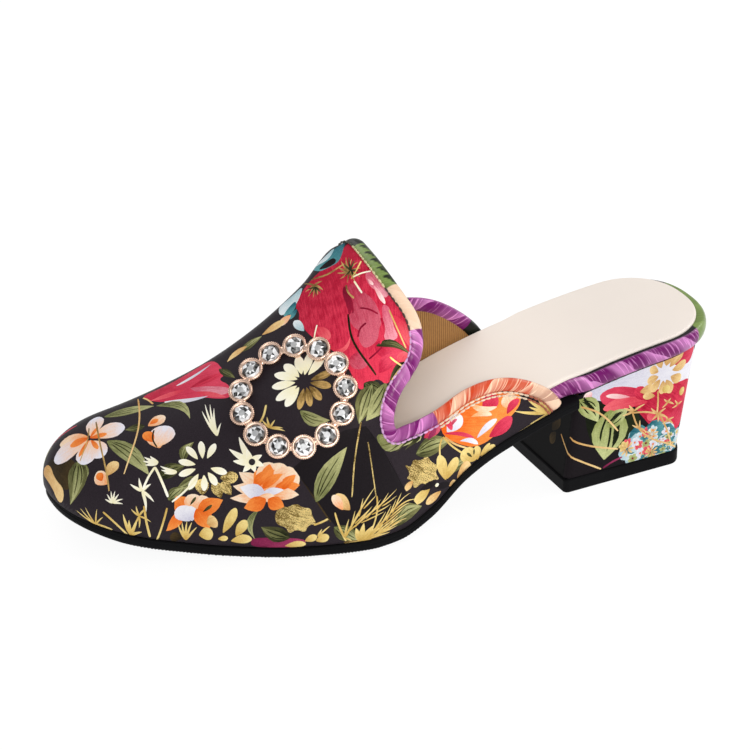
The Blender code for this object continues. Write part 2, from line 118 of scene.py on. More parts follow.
# Crown line of the vamp: place, height and how full the two half sections are.
RIDGE_COLUMNS = ("along", "across", "rise", "full_lateral", "full_medial")
RIDGE = (
    (0.244, -0.158, 1.070, 2.60, 2.40),
    (0.407, -0.224, 1.050, 2.70, 2.40),
    (0.504, -0.276, 1.000, 2.70, 2.40),
    (0.545, -0.283, 0.980, 2.65, 2.40),
    (0.589, -0.289, 0.848, 2.60, 2.40),
    (0.671, -0.300, 0.672, 2.50, 2.40),
    (0.752, -0.322, 0.553, 2.40, 2.35),
    (0.833, -0.345, 0.475, 2.35, 2.35),
    (0.915, -0.362, 0.422, 2.30, 2.30),
    (1.000, -0.368, 0.375, 2.30, 2.30),
)
RIDGE_ROUND, RIDGE_POWER = 26.0, 2.5
TUCK = math.radians(13)

# Topline from a wing's end to the middle of the tongue. The shares are of the half girth.
TOPLINE_COLUMNS = ("along", "lateral", "medial")
TOPLINE = (
    (0.290, 0.022, 0.030),
    (0.302, 0.076, 0.111),
    (0.334, 0.168, 0.252),
    (0.384, 0.256, 0.385),
    (0.515, 0.326, 0.452),
    (0.574, 0.393, 0.462),
    (0.575, 0.436, 0.515),
    (0.526, 0.497, 0.640),
    (0.513, 0.530, 0.700),
    (0.507, 0.669, 0.765),
    (0.511, 0.710, 0.825),
    (0.512, 1.000, 1.000),
)
GIRTH_SCALE = 110.0
SECTION_POINTS = 160
STATIONS = 420
REAR_STATION = 60.0

BAND_START, BAND_END = 69.0, 59.0
INSIDE_UPPER = 3.1
INSOLE_MARGIN, INSOLE_MARGIN_FRONT = 2.3, 0.4
INSOLE_MARGIN_BACK, INSOLE_BACK_TO = 4.2, 24.0

# Heel block: share of the height, then the outline of that level.
HEEL_COLUMNS = ("level", "front", "back", "half_front", "half_back", "round", "power")
HEEL = (
    (0.00, 68.5, 15.6, 27.6, 26.2, 9.0, 2.9),
    (0.35, 66.9, 11.4, 27.4, 26.4, 13.5, 2.6),
    (0.70, 65.4, 7.0, 27.2, 26.5, 19.5, 2.4),
    (1.00, 64.4, 3.2, 27.0, 26.6, 26.0, 2.3),
)
HEEL_CORNER = 1.8
LIFT_PROUD = 0.7
OUTSOLE_END = 64.9

STONES = 13
RING_ALONG, RING_SHARE = 169.9, 0.636
RING_RADIUS = 18.9
RING_FACING = np.array([0.36, 0.65, 0.64])
RING_ROUNDS, RING_PROBE = 6, 0.2
PLATE_STANDS = 0.7
RING_LEVEL = 0.6


def through(table, columns, name, x):
    """Smooth curve through one column of a table, without bumps between its rows."""
    rows = np.array(table)
    at, value = rows[:, 0], rows[:, columns.index(name)]
    step, slope = np.diff(at), np.diff(value) / np.diff(at)
    tangent = np.zeros(len(at))
    for k in range(1, len(at) - 1):
        if slope[k - 1] * slope[k] > 0:
            before, after = 2 * step[k] + step[k - 1], step[k] + 2 * step[k - 1]
            tangent[k] = (before + after) / (before / slope[k - 1] + after / slope[k])
    tangent[0], tangent[-1] = slope[0], slope[-1]
    x = np.asarray(x, float)
    k = np.clip(np.searchsorted(at, x, side="right") - 1, 0, len(step) - 1)
    t = (x - at[k]) / step[k]
    rise = value[k + 1] - value[k]
    lead, trail = tangent[k] * step[k], tangent[k + 1] * step[k]
    return value[k] + t * (lead + t * (3 * rise - 2 * lead - trail + t * (lead + trail - 2 * rise)))


def spline(at, value, x):
    """Natural cubic spline."""
    at, value = np.asarray(at, float), np.asarray(value, float)
    step, slope = np.diff(at), np.diff(value) / np.diff(at)
    count = len(at)
    system, side = np.eye(count), np.zeros(count)
    for k in range(1, count - 1):
        system[k, k - 1 : k + 2] = step[k - 1], 2 * (step[k - 1] + step[k]), step[k]
        side[k] = 6 * (slope[k] - slope[k - 1])
    bend = np.linalg.solve(system, side)
    x = np.asarray(x, float)
    k = np.clip(np.searchsorted(at, x, side="right") - 1, 0, len(step) - 1)
    d = x - at[k]
    lead = slope[k] - step[k] * (2 * bend[k] + bend[k + 1]) / 6
    return value[k] + d * (lead + d * (bend[k] / 2 + d * (bend[k + 1] - bend[k]) / (6 * step[k])))


def lengths(points):
    return np.r_[0.0, np.cumsum(np.linalg.norm(np.diff(points, axis=0), axis=1))]


def follow(at, run, points):
    """Points at lengths along a line whose own points lie at run."""
    return np.stack([np.interp(at, run, column) for column in points.T], -1)


def leftward(ways):
    return np.stack([-ways[..., 1], ways[..., 0]], -1)


def unit(vectors):
    return vectors / np.linalg.norm(vectors, axis=-1, keepdims=True)


def ease(x, start, end):
    t = np.clip((np.asarray(x, float) - start) / (end - start), 0, 1)
    return t * t * (3 - 2 * t)


def rounding(x, size, power):
    """1 along the form, falling to 0 at x = size as a round end does."""
    return (1 - np.clip(x / size, 0, 1) ** power) ** (1 / power)


def axis(x):
    return BALL_WIDTH * through(PLAN, PLAN_COLUMNS, "axis", np.asarray(x) / LENGTH)


def edge(x, side):
    """Y of the feather edge."""
    x = np.asarray(x, float)
    half = BALL_WIDTH * through(PLAN, PLAN_COLUMNS, SIDE_NAMES[side], x / LENGTH)
    heel = rounding(HEEL_ROUND - x, HEEL_ROUND, HEEL_POWER)
    toe = rounding(x - LENGTH + TOE_ROUND, TOE_ROUND, TOE_POWER)
    return axis(x) + side * half * heel * toe


def underside(x):
    x = np.asarray(x, float)
    rear = HEEL_RISE * through(UNDERSIDE, UNDERSIDE_COLUMNS, "rise", np.minimum(x, FLAT_FROM) / LENGTH)
    ahead = np.clip((x - FLAT_TO) / (LENGTH - FLAT_TO), 0, None)
    return np.where(x < FLAT_FROM, rear, TOE_SPRING * ahead**SPRING_POWER)


def feather(x):
    """Height at which the upper and the footbed sit on the sole."""
    return underside(x) + OUTSOLE_THICK + GAP


def ridge(x):
    x = np.asarray(x, float)
    low = feather(x)
    rise = INSTEP_HEIGHT * through(RIDGE, RIDGE_COLUMNS, "rise", x / LENGTH) - low
    across = BALL_WIDTH * through(RIDGE, RIDGE_COLUMNS, "across", x / LENGTH)
    front = rounding(x - LENGTH + RIDGE_ROUND, RIDGE_ROUND, RIDGE_POWER)
    return np.stack([x, across, low + rise * front], -1)


def half_sections(x, side):
    """Points of the upper's outside from the crown down to the feather edge, a row for each station."""
    turn = np.linspace(math.pi / 2, -TUCK, SECTION_POINTS)
    power = 2 / through(RIDGE, RIDGE_COLUMNS, "full_" + SIDE_NAMES[side], x / LENGTH)[:, None]
    top, low = ridge(x), feather(x)[:, None]
    reach = np.abs(np.cos(turn)) ** power / math.cos(TUCK) ** power
    rise = np.sign(turn) * np.abs(np.sin(turn)) ** power
    sink = math.sin(TUCK) ** power
    y = top[:, 1:2] + (edge(x, side)[:, None] - top[:, 1:2]) * reach
    z = low + (top[:, 2:] - low) * (rise + sink) / (1 + sink)
    return np.stack([np.broadcast_to(x[:, None], y.shape), y, z], -1)


def footbed_inset(x):
    return INSIDE_UPPER * (1 - ease(x, BAND_START, BAND_END))


def footbed_thick(x):
    return FOOTBED_TOE + (FOOTBED_HEEL - FOOTBED_TOE) * ease(x, FLAT_FROM, BAND_START)


def footbed_top(x):
    return feather(x) + footbed_thick(x)


def insole_inset(x):
    margin = INSOLE_MARGIN + (INSOLE_MARGIN_FRONT - INSOLE_MARGIN) * ease(x, BAND_END, BAND_START)
    margin += (INSOLE_MARGIN_BACK - INSOLE_MARGIN) * ease(x, INSOLE_BACK_TO, 0)
    return footbed_inset(x) + margin


def outsole_proud(x):
    """How far the sole stands out beyond the upper: it draws in under the toe."""
    return OUTSOLE_PROUD - OUTSOLE_TUCKED * ease(x, OUTSOLE_TUCK_FROM * LENGTH, LENGTH)


def outline(inset, steps):
    """Closed plan from the toe along the outer side to the heel and back, drawn in by inset(x)."""
    turn = np.linspace(0, math.pi, steps + 1)
    x = LENGTH * (1 + np.cos(turn)) / 2
    there = np.stack([x, edge(x, LATERAL)], -1)
    back = np.stack([x, edge(x, MEDIAL)], -1)[-2:0:-1]
    loop = np.concatenate([there, back])
    tangent = np.roll(loop, -1, axis=0) - np.roll(loop, 1, axis=0)
    return loop + unit(leftward(tangent)) * inset(loop[:, 0])[:, None]


def camera_axes():
    """Place of the camera and its right, up and forward ways, in the last's frame."""
    flat = math.cos(CAMERA_ELEVATION)
    back = np.array(
        [math.sin(CAMERA_AZIMUTH) * flat, math.cos(CAMERA_AZIMUTH) * flat, math.sin(CAMERA_ELEVATION)]
    )
    right = unit(np.cross(-back, (0.0, 0.0, 1.0)))
    return CAMERA_TARGET + CAMERA_DISTANCE * back, right, np.cross(right, -back), -back


CAMERA_PLACE, CAMERA_RIGHT, CAMERA_UP, CAMERA_AHEAD = camera_axes()


def pixels(points):
    """Where points show in the picture."""
    away = np.asarray(points) - CAMERA_PLACE
    scale = FOCUS / (away @ CAMERA_AHEAD)
    right, up = scale * (away @ CAMERA_RIGHT), scale * (away @ CAMERA_UP)
    return np.stack([PICTURE / 2 + right, PICTURE / 2 - up], -1)


# Search for the cloth's point behind a pixel, in steps of its grid, and the slope that counts as none.
SEEN_PROBE, SEEN_REACH, SEEN_ROUNDS, SEEN_FLAT = 0.25, 4, 6, 0.05
SPREAD_PROBE, LAST_CELL, TINY = 0.6, 1.001, 1e-9


class Cloth:
    """A curved sheet as a grid of places, with flat coordinates in millimetres."""

    def __init__(self, places, flat, to_grid, outwards):
        self.places, self.flat, self.to_grid = places, flat, to_grid
        normals = np.cross(np.gradient(places, axis=0), np.gradient(places, axis=1)) * outwards
        self.normals = normals / np.maximum(np.linalg.norm(normals, axis=-1, keepdims=True), TINY)
        self.seen_at = pixels(places)
        self.faces_camera = ((CAMERA_PLACE - places) * self.normals).sum(-1) > 0

    def sample(self, grid, at):
        """Values of a grid between its points."""
        rows, columns = grid.shape[:2]
        i = np.clip(at[..., 0], 0, rows - LAST_CELL)
        j = np.clip(at[..., 1], 0, columns - LAST_CELL)
        a, b = i.astype(int), j.astype(int)
        s, t = (i - a)[..., None], (j - b)[..., None]
        near = grid[a, b] * (1 - t) + grid[a, b + 1] * t
        far = grid[a + 1, b] * (1 - t) + grid[a + 1, b + 1] * t
        return near * (1 - s) + far * s

    def place(self, flat):
        return self.sample(self.places, self.to_grid(np.asarray(flat, float)))

    def normal(self, flat):
        return unit(self.sample(self.normals, self.to_grid(np.asarray(flat, float))))

    def seen(self, pixel):
        """Flat point that shows at a pixel of the picture."""
        pixel = np.asarray(pixel, float)
        away = np.linalg.norm(self.seen_at - pixel, axis=-1) + np.where(self.faces_camera, 0, PICTURE)
        at = np.array(np.unravel_index(away.argmin(), away.shape), float)
        for _ in range(SEEN_ROUNDS):
            here = self.sample(self.seen_at, at)
            ends = [self.sample(self.seen_at, at + step) - here for step in SEEN_PROBE * np.eye(2)]
            move = np.linalg.lstsq(np.stack(ends, -1) / SEEN_PROBE, pixel - here, rcond=SEEN_FLAT)[0]
            at = at + np.clip(move, -SEEN_REACH, SEEN_REACH)
        return self.sample(self.flat, at)

    def spread(self, flat):
        """Matrix from millimetres to the right and up on the cloth, as the camera sees it, to flat ones."""
        steps = SPREAD_PROBE * np.eye(2)
        slope = [(self.place(flat + step) - self.place(flat - step)) for step in steps]
        normal = self.normal(flat)
        right = unit(CAMERA_RIGHT - normal * (CAMERA_RIGHT @ normal))
        back = np.linalg.pinv(np.stack(slope, -1) / (2 * SPREAD_PROBE))
        return back @ np.stack([right, np.cross(normal, right)], -1)


HALF_COLUMNS, LEAST_GIRTH = 150, 0.1


def upper_cloth():
    """The upper's outside: across counts from the crown, outer side positive, along runs to the toe."""
    back = 1 - np.linspace(0, 1, STATIONS)
    x = LENGTH - (LENGTH - REAR_STATION) * back**2
    along = lengths(ridge(x))
    share = np.linspace(0, 1, HALF_COLUMNS + 1)
    halves, girths = {}, {}
    for side in (LATERAL, MEDIAL):
        even, girth = [], []
        for section in half_sections(x, side):
            run = lengths(section)
            even.append(follow(share * run[-1], run, section))
            girth.append(run[-1])
        halves[side], girths[side] = np.array(even), np.array(girth)
    places = np.concatenate([halves[MEDIAL][:, :0:-1], halves[LATERAL]], axis=1)
    across = np.concatenate(
        [-girths[MEDIAL][:, None] * share[:0:-1], girths[LATERAL][:, None] * share], axis=1
    )
    flat = np.stack([across, np.broadcast_to(along[:, None], across.shape)], -1)

    def to_grid(point):
        i = np.interp(point[..., 1], along, np.arange(STATIONS))
        outer = np.interp(point[..., 1], along, girths[LATERAL])
        inner = np.interp(point[..., 1], along, girths[MEDIAL])
        half = np.maximum(np.where(point[..., 0] > 0, outer, inner), LEAST_GIRTH)
        return np.stack([i, HALF_COLUMNS * (1 + point[..., 0] / half)], -1)

    cloth = Cloth(places, flat, to_grid, 1.0)
    cloth.x, cloth.along, cloth.girths = x, along, girths
    return cloth


def topline(cloth, side, drawn_in):
    """Flat points of the topline, drawn in from the binding's outer edge."""
    rows = np.array(TOPLINE)
    along, share = rows[:, 0] * LENGTH, rows[:, TOPLINE_COLUMNS.index(SIDE_NAMES[side])]
    run = lengths(np.stack([along, share * GIRTH_SCALE], -1))
    t = np.linspace(0, run[-1], STATIONS)
    x, share = spline(run, along, t), spline(run, share, t)
    line = np.stack(
        [(1 - share) * np.interp(x, cloth.x, cloth.girths[side]), np.interp(x, cloth.x, cloth.along)], -1
    )
    tangent = np.gradient(line, axis=0)
    tangent[-1] = (-1.0, 0.0)
    inward = unit(leftward(tangent))
    inward *= np.sign(inward[-1, 1])
    line = line + inward * drawn_in
    line[-1, 0] = 0.0
    run = lengths(line)
    line = follow(np.linspace(0, run[-1], STATIONS), run, line)
    line[:, 0] *= side
    return line


def whole_topline(cloth, drawn_in):
    """Flat topline from the outer wing's end over the tongue to the inner wing's end."""
    outer, inner = (topline(cloth, side, drawn_in) for side in (LATERAL, MEDIAL))
    return np.concatenate([outer, inner[-2::-1]])


# Inks: colour at the root and at the tip, as screen values, then foil and streaks.
INKS = {
    "ground": ((45, 39, 44), (51, 45, 50), 0.0, 0.3),
    "pitch": ((28, 24, 27), (33, 29, 32), 0.0, 0.0),
    # painted shade: near black for the heel's breast, which faces into shade under the arch
    "night": ((5, 4, 5), (8, 7, 8), 0.0, 0.0),
    "umber": ((40, 32, 20), (70, 56, 34), 0.0, 0.6),
    "crimson": ((176, 24, 54), (218, 58, 84), 0.0, 1.0),
    "cherry": ((190, 36, 66), (220, 70, 96), 0.0, 0.6),
    "coral": ((212, 54, 76), (236, 104, 114), 0.0, 0.5),
    "rose": ((180, 48, 74), (206, 96, 116), 0.0, 0.8),
    "pink": ((204, 88, 112), (230, 150, 164), 0.0, 0.8),
    "blush": ((232, 150, 160), (250, 226, 220), 0.0, 0.5),
    "wine": ((120, 14, 42), (150, 26, 54), 0.0, 0.3),
    "magenta": ((120, 32, 70), (160, 58, 96), 0.0, 0.4),
    "white": ((204, 202, 218), (236, 234, 240), 0.0, 0.35),
    "snow": ((248, 196, 150), (232, 230, 240), 0.0, 0.4),
    "orange": ((224, 96, 26), (244, 146, 70), 0.0, 0.5),
    "peach": ((240, 160, 100), (247, 222, 194), 0.0, 0.5),
    "olive": ((66, 68, 40), (126, 126, 80), 0.0, 0.7),
    "moss": ((36, 38, 22), (82, 82, 50), 0.0, 0.7),
    "sage": ((112, 116, 70), (178, 178, 126), 0.0, 0.6),
    "green": ((138, 148, 82), (194, 200, 140), 0.0, 0.5),
    "fir": ((18, 24, 13), (36, 42, 23), 0.0, 0.3),
    "teal": ((30, 92, 108), (92, 156, 162), 0.0, 0.5),
    "ice": ((166, 198, 206), (226, 234, 238), 0.0, 0.4),
    "cream": ((244, 236, 196), (253, 250, 234), 0.1, 0.2),
    "gold": ((204, 168, 88), (240, 216, 142), 0.35, 0.4),
    "bronze": ((112, 86, 44), (204, 168, 104), 0.3, 1.2),
    "speckle": ((110, 88, 42), (228, 202, 132), 0.3, 1.4),
    "tan": ((204, 156, 94), (241, 208, 148), 0.1, 0.5),
}
# Leaves: tones of the blade, of its lit half and of its streaks, then feathered marks on one side.
LEAVES = {
    "olive leaf": ("olive", "sage", "moss", 0),
    "moss leaf": ("moss", "olive", "fir", 0),
    "sage leaf": ("sage", "sage", "moss", 0),
    "green leaf": ("green", "green", "fir", 6),
}
# A kind of blade with this ending is a petal with a sharp tip.
POINT = " point"
# Forms of a blade: where along it is widest, and how much its ends narrow.
ROUND_PETAL, POINTED_PETAL, FLORET_PETAL = (0.6, 0.55), (0.45, 0.95), (0.6, 0.5)
LEAF_BLADE, LIT_BLADE, FEATHER = (0.42, 0.95), (0.42, 1.0), (0.35, 0.8)
FOIL_RAY, FROND_BLADE = (0.3, 0.7), (0.3, 0.6)
PETAL_STEPS, RUFFLES, PETAL_RUFFLE, FOIL_ARCH = 9, 5, 0.015, 0.04
STROKE_STEPS, STROKE_TAPER, STEM_END = 14, 6, 0.7


def linear(screen):
    value = np.asarray(screen, float) / 255
    return np.where(value <= 0.04045, value / 12.92, ((value + 0.055) / 1.055) ** 2.4)


def way(degrees):
    return np.array([math.cos(math.radians(degrees)), math.sin(math.radians(degrees))])


class Shape:
    """An inked outline in millimetres: it shades from its root along its way."""

    def __init__(self, points, root, ahead, length, ink):
        self.points, self.root, self.ahead = np.asarray(points, float), np.asarray(root, float), ahead
        self.length, self.ink = length, ink


def petal(root, degrees, length, width, ink, belly, blunt, arch=0.0, ruffle=0.0):
    """A petal or leaf blade: widest at belly, arched aside, its edge ruffled."""
    u = (1 - np.cos(np.linspace(0, math.pi, PETAL_STEPS + 1))) / 2
    half = width / 2 * np.sin(math.pi * u ** (math.log(0.5) / math.log(belly))) ** blunt
    middle = arch * length * 4 * u * (1 - u)
    wave = ruffle * width * np.sin(math.pi * RUFFLES * u) * u
    left = np.stack([length * u + np.abs(wave), middle + half + wave], -1)
    right = np.stack([length * u, middle - half + wave], -1)
    points = np.concatenate([right, left[-2:0:-1]])
    ahead = way(degrees)
    points = np.asarray(root) + points[:, :1] * ahead + points[:, 1:] * leftward(ahead)
    return Shape(points, root, ahead, length, ink)


def stroke(points, width, ink, start, end, steps=STROKE_STEPS):
    """A line through points, its ends tapered to shares of its width."""
    points = np.asarray(points, float)
    run = lengths(points)
    t = np.linspace(0, run[-1], steps)
    line = np.stack([spline(run, points[:, k], t) for k in range(2)], -1)
    tangent = unit(np.gradient(line, axis=0))
    u = t / run[-1]
    body = np.minimum(1.0, np.minimum(start + u * STROKE_TAPER, end + (1 - u) * STROKE_TAPER))
    aside = leftward(tangent) * (width / 2 * body)[:, None]
    ahead = unit(points[-1] - points[0])
    return Shape(np.concatenate([line - aside, (line + aside)[::-1]]), points[0], ahead, run[-1], ink)


def disc(centre, radius, ink, sides=12):
    turn = np.linspace(0, 2 * math.pi, sides + 1)[:-1]
    points = np.asarray(centre) + radius * np.stack([np.cos(turn), np.sin(turn)], -1)
    return Shape(points, np.asarray(centre) - (radius, 0), way(0), 2 * radius, ink)


def between(start, end):
    """Direction in degrees and length from one point to another."""
    run = np.asarray(end) - np.asarray(start)
    return math.degrees(math.atan2(run[1], run[0])), float(np.linalg.norm(run))


# A leaf's lit half, its veins and the marks on one side, as shares of its width and length.
LIT_WIDE, LIT_LEAN = 0.5, 0.06
VEINS, VEIN_FROM, VEIN_TO, VEIN_POINTS, VEIN_STEPS = (-0.24, 0.02, 0.24), 0.10, 0.84, 5, 8
VEIN_WIDE, VEIN_ROOT, VEIN_TIP = 0.06, 0.2, 0.1
FEATHER_FROM, FEATHER_SPAN, FEATHER_ASIDE, FEATHER_TURN = 0.05, 0.55, 0.3, -22
FEATHER_LONG, FEATHER_WIDE = 0.3, 0.1


def leaf(start, end, width, arch, tones):
    """A blade in two tones with long dark streaks."""
    blade, lit, dark, feathers = tones
    degrees, length = between(start, end)
    ahead, aside = way(degrees), way(degrees + 90)
    lit_arch = arch + LIT_LEAN * width / length
    shapes = [
        petal(start, degrees, length, width, blade, *LEAF_BLADE, arch),
        petal(start, degrees, length, width * LIT_WIDE, lit, *LIT_BLADE, lit_arch),
    ]
    for lean in VEINS:
        u = np.linspace(VEIN_FROM, VEIN_TO - abs(lean), VEIN_POINTS)
        rise = arch * length * 4 * u * (1 - u) + lean * width * np.sin(math.pi * u)
        line = start + ahead * (length * u)[:, None] + aside * rise[:, None]
        shapes.append(stroke(line, width * VEIN_WIDE, dark, VEIN_ROOT, VEIN_TIP, VEIN_STEPS))
    for k in range(feathers):
        along = length * (FEATHER_FROM + FEATHER_SPAN * k / feathers)
        root = start + ahead * along + aside * width * FEATHER_ASIDE
        size = length * FEATHER_LONG, width * FEATHER_WIDE
        shapes.append(petal(root, degrees + FEATHER_TURN, *size, dark, *FEATHER))
    return shapes


# Daisies: ink, petals in the round and petals shown, then hollow and petal width as shares of the size.
DAISIES = {
    "daisy": ("cream", 10, 9, 0.3, 0.27),
    "ring daisy": ("cream", 13, 8, 0.22, 0.31),
    "ring foil": ("bronze", 12, 5, 0.22, 0.27),
    "tan daisy": ("tan", 10, 10, 0.32, 0.42),
    "small daisy": ("tan", 8, 8, 0.1, 0.27),
}
DAISY_TURNS, DAISY_STARTS, DAISY_REACHES = (-5, 5), (0.9, 1.15), (0.92, 1.05)
DOTS = {"dot": "cream", "hole": "ground", "gold dot": "gold"}


def daisy(size, chance, ink, petals, shown, hollow, fat):
    """Loose petals round an empty middle."""
    shapes = []
    for k in range(shown):
        turn = 360 * k / petals + chance.uniform(*DAISY_TURNS)
        start = size * hollow * chance.uniform(*DAISY_STARTS)
        length = size * chance.uniform(*DAISY_REACHES) - start
        shapes.append(petal(way(turn) * start, turn, length, size * fat, ink, *ROUND_PETAL))
    return shapes


# A cluster's cushions and florets: how many, how near to the middle and how far out, and their sizes.
CUSHIONS, CUSHION_NEAR, CUSHION_FAR, CUSHION_OVAL = 18, 0.1, 1, (1, 0.6)
CUSHION_SIZE, CUSHION_SIDES, CUSHION_INKS = 0.34, 9, ("teal", "teal", "ice")
FLORETS, FLORET_NEAR, FLORET_FAR, FLORET_OVAL = 30, 0.02, 0.9, (1.05, 0.6)
FLORET_PETALS, FLORET_LONG, FLORET_WIDE, FLORET_TURN = 5, 0.17, 0.13, 20
FLORET_INKS = ("white", "coral", "gold", "ice", "teal", "green")
HEART_SIZE, HEART_SIDES, HEART_INKS = 0.04, 6, ("orange", "gold", "wine")


def strewn(size, chance, near, far, oval):
    """A chance place in an oval."""
    return way(chance.uniform(0, 360)) * size * math.sqrt(chance.uniform(near, far)) * oval


def cluster(size, chance):
    """Small florets packed on a teal cushion."""
    shapes = []
    for k in range(CUSHIONS):
        at = strewn(size, chance, CUSHION_NEAR, CUSHION_FAR, CUSHION_OVAL)
        shapes.append(disc(at, size * CUSHION_SIZE, CUSHION_INKS[k % len(CUSHION_INKS)], CUSHION_SIDES))
    for k in range(FLORETS):
        at = strewn(size, chance, FLORET_NEAR, FLORET_FAR, FLORET_OVAL)
        ink = FLORET_INKS[k % len(FLORET_INKS)]
        for turn in range(0, 360, 360 // FLORET_PETALS):
            degrees = turn + FLORET_TURN * k
            shapes.append(petal(at, degrees, size * FLORET_LONG, size * FLORET_WIDE, ink, *FLORET_PETAL))
        shapes.append(disc(at, size * HEART_SIZE, HEART_INKS[k % len(HEART_INKS)], HEART_SIDES))
    return shapes


def motif(kind, size, chance):
    if kind in DAISIES:
        return daisy(size, chance, *DAISIES[kind])
    if kind in DOTS:
        return [disc((0, 0), size, DOTS[kind])]
    return cluster(size, chance)


# Places in the tables below are pixels of the picture, widths and sizes are millimetres on the cloth.
# Patches: ink and corners of a mass, its corners rounded.
UPPER_PATCHES = (
    ("crimson", (
        (346, 246), (336, 262), (310, 279), (294, 306), (300, 313), (298, 321), (311, 338), (330, 348),
        (349, 368), (358, 391), (367, 387), (377, 377), (388, 387), (407, 365), (424, 346), (421, 325),
        (406, 296), (379, 262), (351, 238)
    )),
    ("rose", (
        (345, 287), (354, 282), (362, 291), (374, 300), (380, 313), (382, 322), (379, 330), (378, 340),
        (370, 347), (363, 348), (358, 338), (360, 331), (353, 327), (348, 318), (354, 307), (349, 298)
    )),
    ("pink", ((364, 274), (372, 270), (383, 285), (390, 293), (385, 299), (378, 292), (369, 286))),
    ("pink", (
        (381, 304), (389, 306), (392, 318), (394, 328), (399, 337), (392, 342), (384, 340), (384, 328)
    )),
    ("rose", ((348, 358), (358, 351), (365, 358), (369, 365), (360, 370), (351, 368))),
    ("coral", ((315, 326), (328, 328), (332, 337), (326, 342), (317, 335))),
    ("coral", ((329, 347), (340, 350), (347, 344), (351, 335), (349, 348), (340, 354))),
    ("wine", ((344, 284), (350, 296), (353, 307), (349, 317), (347, 306), (342, 294))),
    ("cherry", ((376, 340), (392, 344), (404, 352), (398, 366), (386, 360), (374, 352))),
    ("coral", ((390, 312), (411, 327), (417, 340), (412, 350), (404, 340), (396, 326))),
    ("teal", (
        (346, 242), (338, 247), (326, 257), (312, 271), (318, 273), (330, 267), (339, 262), (343, 253)
    )),
    ("ice", ((336, 247), (325, 257), (313, 269), (322, 264), (331, 257))),
    ("pitch", ((334, 257), (325, 263), (317, 271), (328, 268), (337, 262))),
    ("ice", ((304, 285), (291, 297), (279, 307), (279, 318), (292, 309), (299, 300))),
    ("teal", ((296, 300), (288, 308), (282, 318), (290, 314), (296, 308))),
    ("cherry", (
        (140, 397), (150, 402), (176, 402), (200, 397), (220, 399), (232, 397), (230, 385), (218, 380),
        (226, 374), (213, 360), (200, 366), (172, 383)
    )),
    ("umber", ((46, 464), (60, 457), (77, 461), (77, 482), (66, 493), (54, 482))),
    ("tan", ((50, 464), (43, 476), (52, 491), (61, 506), (64, 489), (55, 480))),
    ("orange", (
        (440, 418), (452, 411), (469, 397), (489, 392), (520, 392), (521, 403), (515, 412), (504, 424),
        (491, 440), (474, 448), (458, 444), (442, 436)
    )),
    ("sage", ((372, 432), (386, 456), (419, 445), (423, 432), (396, 436))),
    ("speckle", (
        (404, 464), (411, 468), (413, 459), (421, 461), (427, 455), (431, 462), (439, 466), (435, 472),
        (440, 480), (432, 479), (429, 487), (422, 482), (414, 490), (413, 481), (406, 479), (411, 474)
    )),
    ("speckle", (
        (274, 515), (281, 505), (287, 508), (296, 503), (303, 508), (311, 508), (312, 516), (317, 524),
        (308, 525), (305, 533), (297, 529), (289, 534), (286, 527), (277, 525)
    )),
    ("magenta", ((250, 541), (256, 537), (307, 538), (304, 546), (280, 549), (252, 547))),
)

# Petals and leaves from root to tip: from_x, from_y, to_x, to_y, width, arch and kind.
TONGUE_BLADES = (
    (396, 373, 409, 352, 5.0, 0.00, "coral"),
    (379, 373, 396, 356, 5.0, 0.05, "cherry"),
    (374, 286, 385, 304, 1.7, 0.00, "blush"),
    (368, 279, 373, 285, 1.2, 0.00, "blush"),
    (376, 346, 411, 355, 2.8, 0.12, "moss leaf"),
    (406, 362, 388, 387, 4.4, 0.08, "moss leaf"),
    (364, 383, 384, 398, 6.0, 0.00, "moss leaf"),
    (372, 384, 359, 424, 6.4, -0.04, "olive leaf"),
    (386, 383, 366, 421, 6.8, 0.06, "sage leaf"),
    (297, 309, 289, 319, 3.0, 0.00, "teal"),
    (304, 331, 294, 321, 3.2, 0.00, "ice"),
    (291, 315, 279, 325, 4.0, 0.00, "peach"),
    (262, 335, 285, 321, 4.0, 0.05, "tan"),
    (240, 352, 262, 336, 4.4, 0.05, "olive leaf"),
    (184, 390, 150, 401, 3.0, 0.00, "coral point"),
    (190, 388, 231, 391, 4.6, -0.04, "pink"),
    (190, 388, 222, 374, 3.6, 0.04, "crimson"),
    (196, 392, 226, 397, 2.2, 0.00, "coral point"),
    (208, 396, 164, 402, 2.2, 0.05, "white"),
    (211, 364, 176, 386, 1.8, 0.04, "white"),
    (247, 346, 227, 362, 3.4, -0.10, "tan point"),
    (219, 369, 235, 378, 3.0, 0.00, "moss leaf"),
)
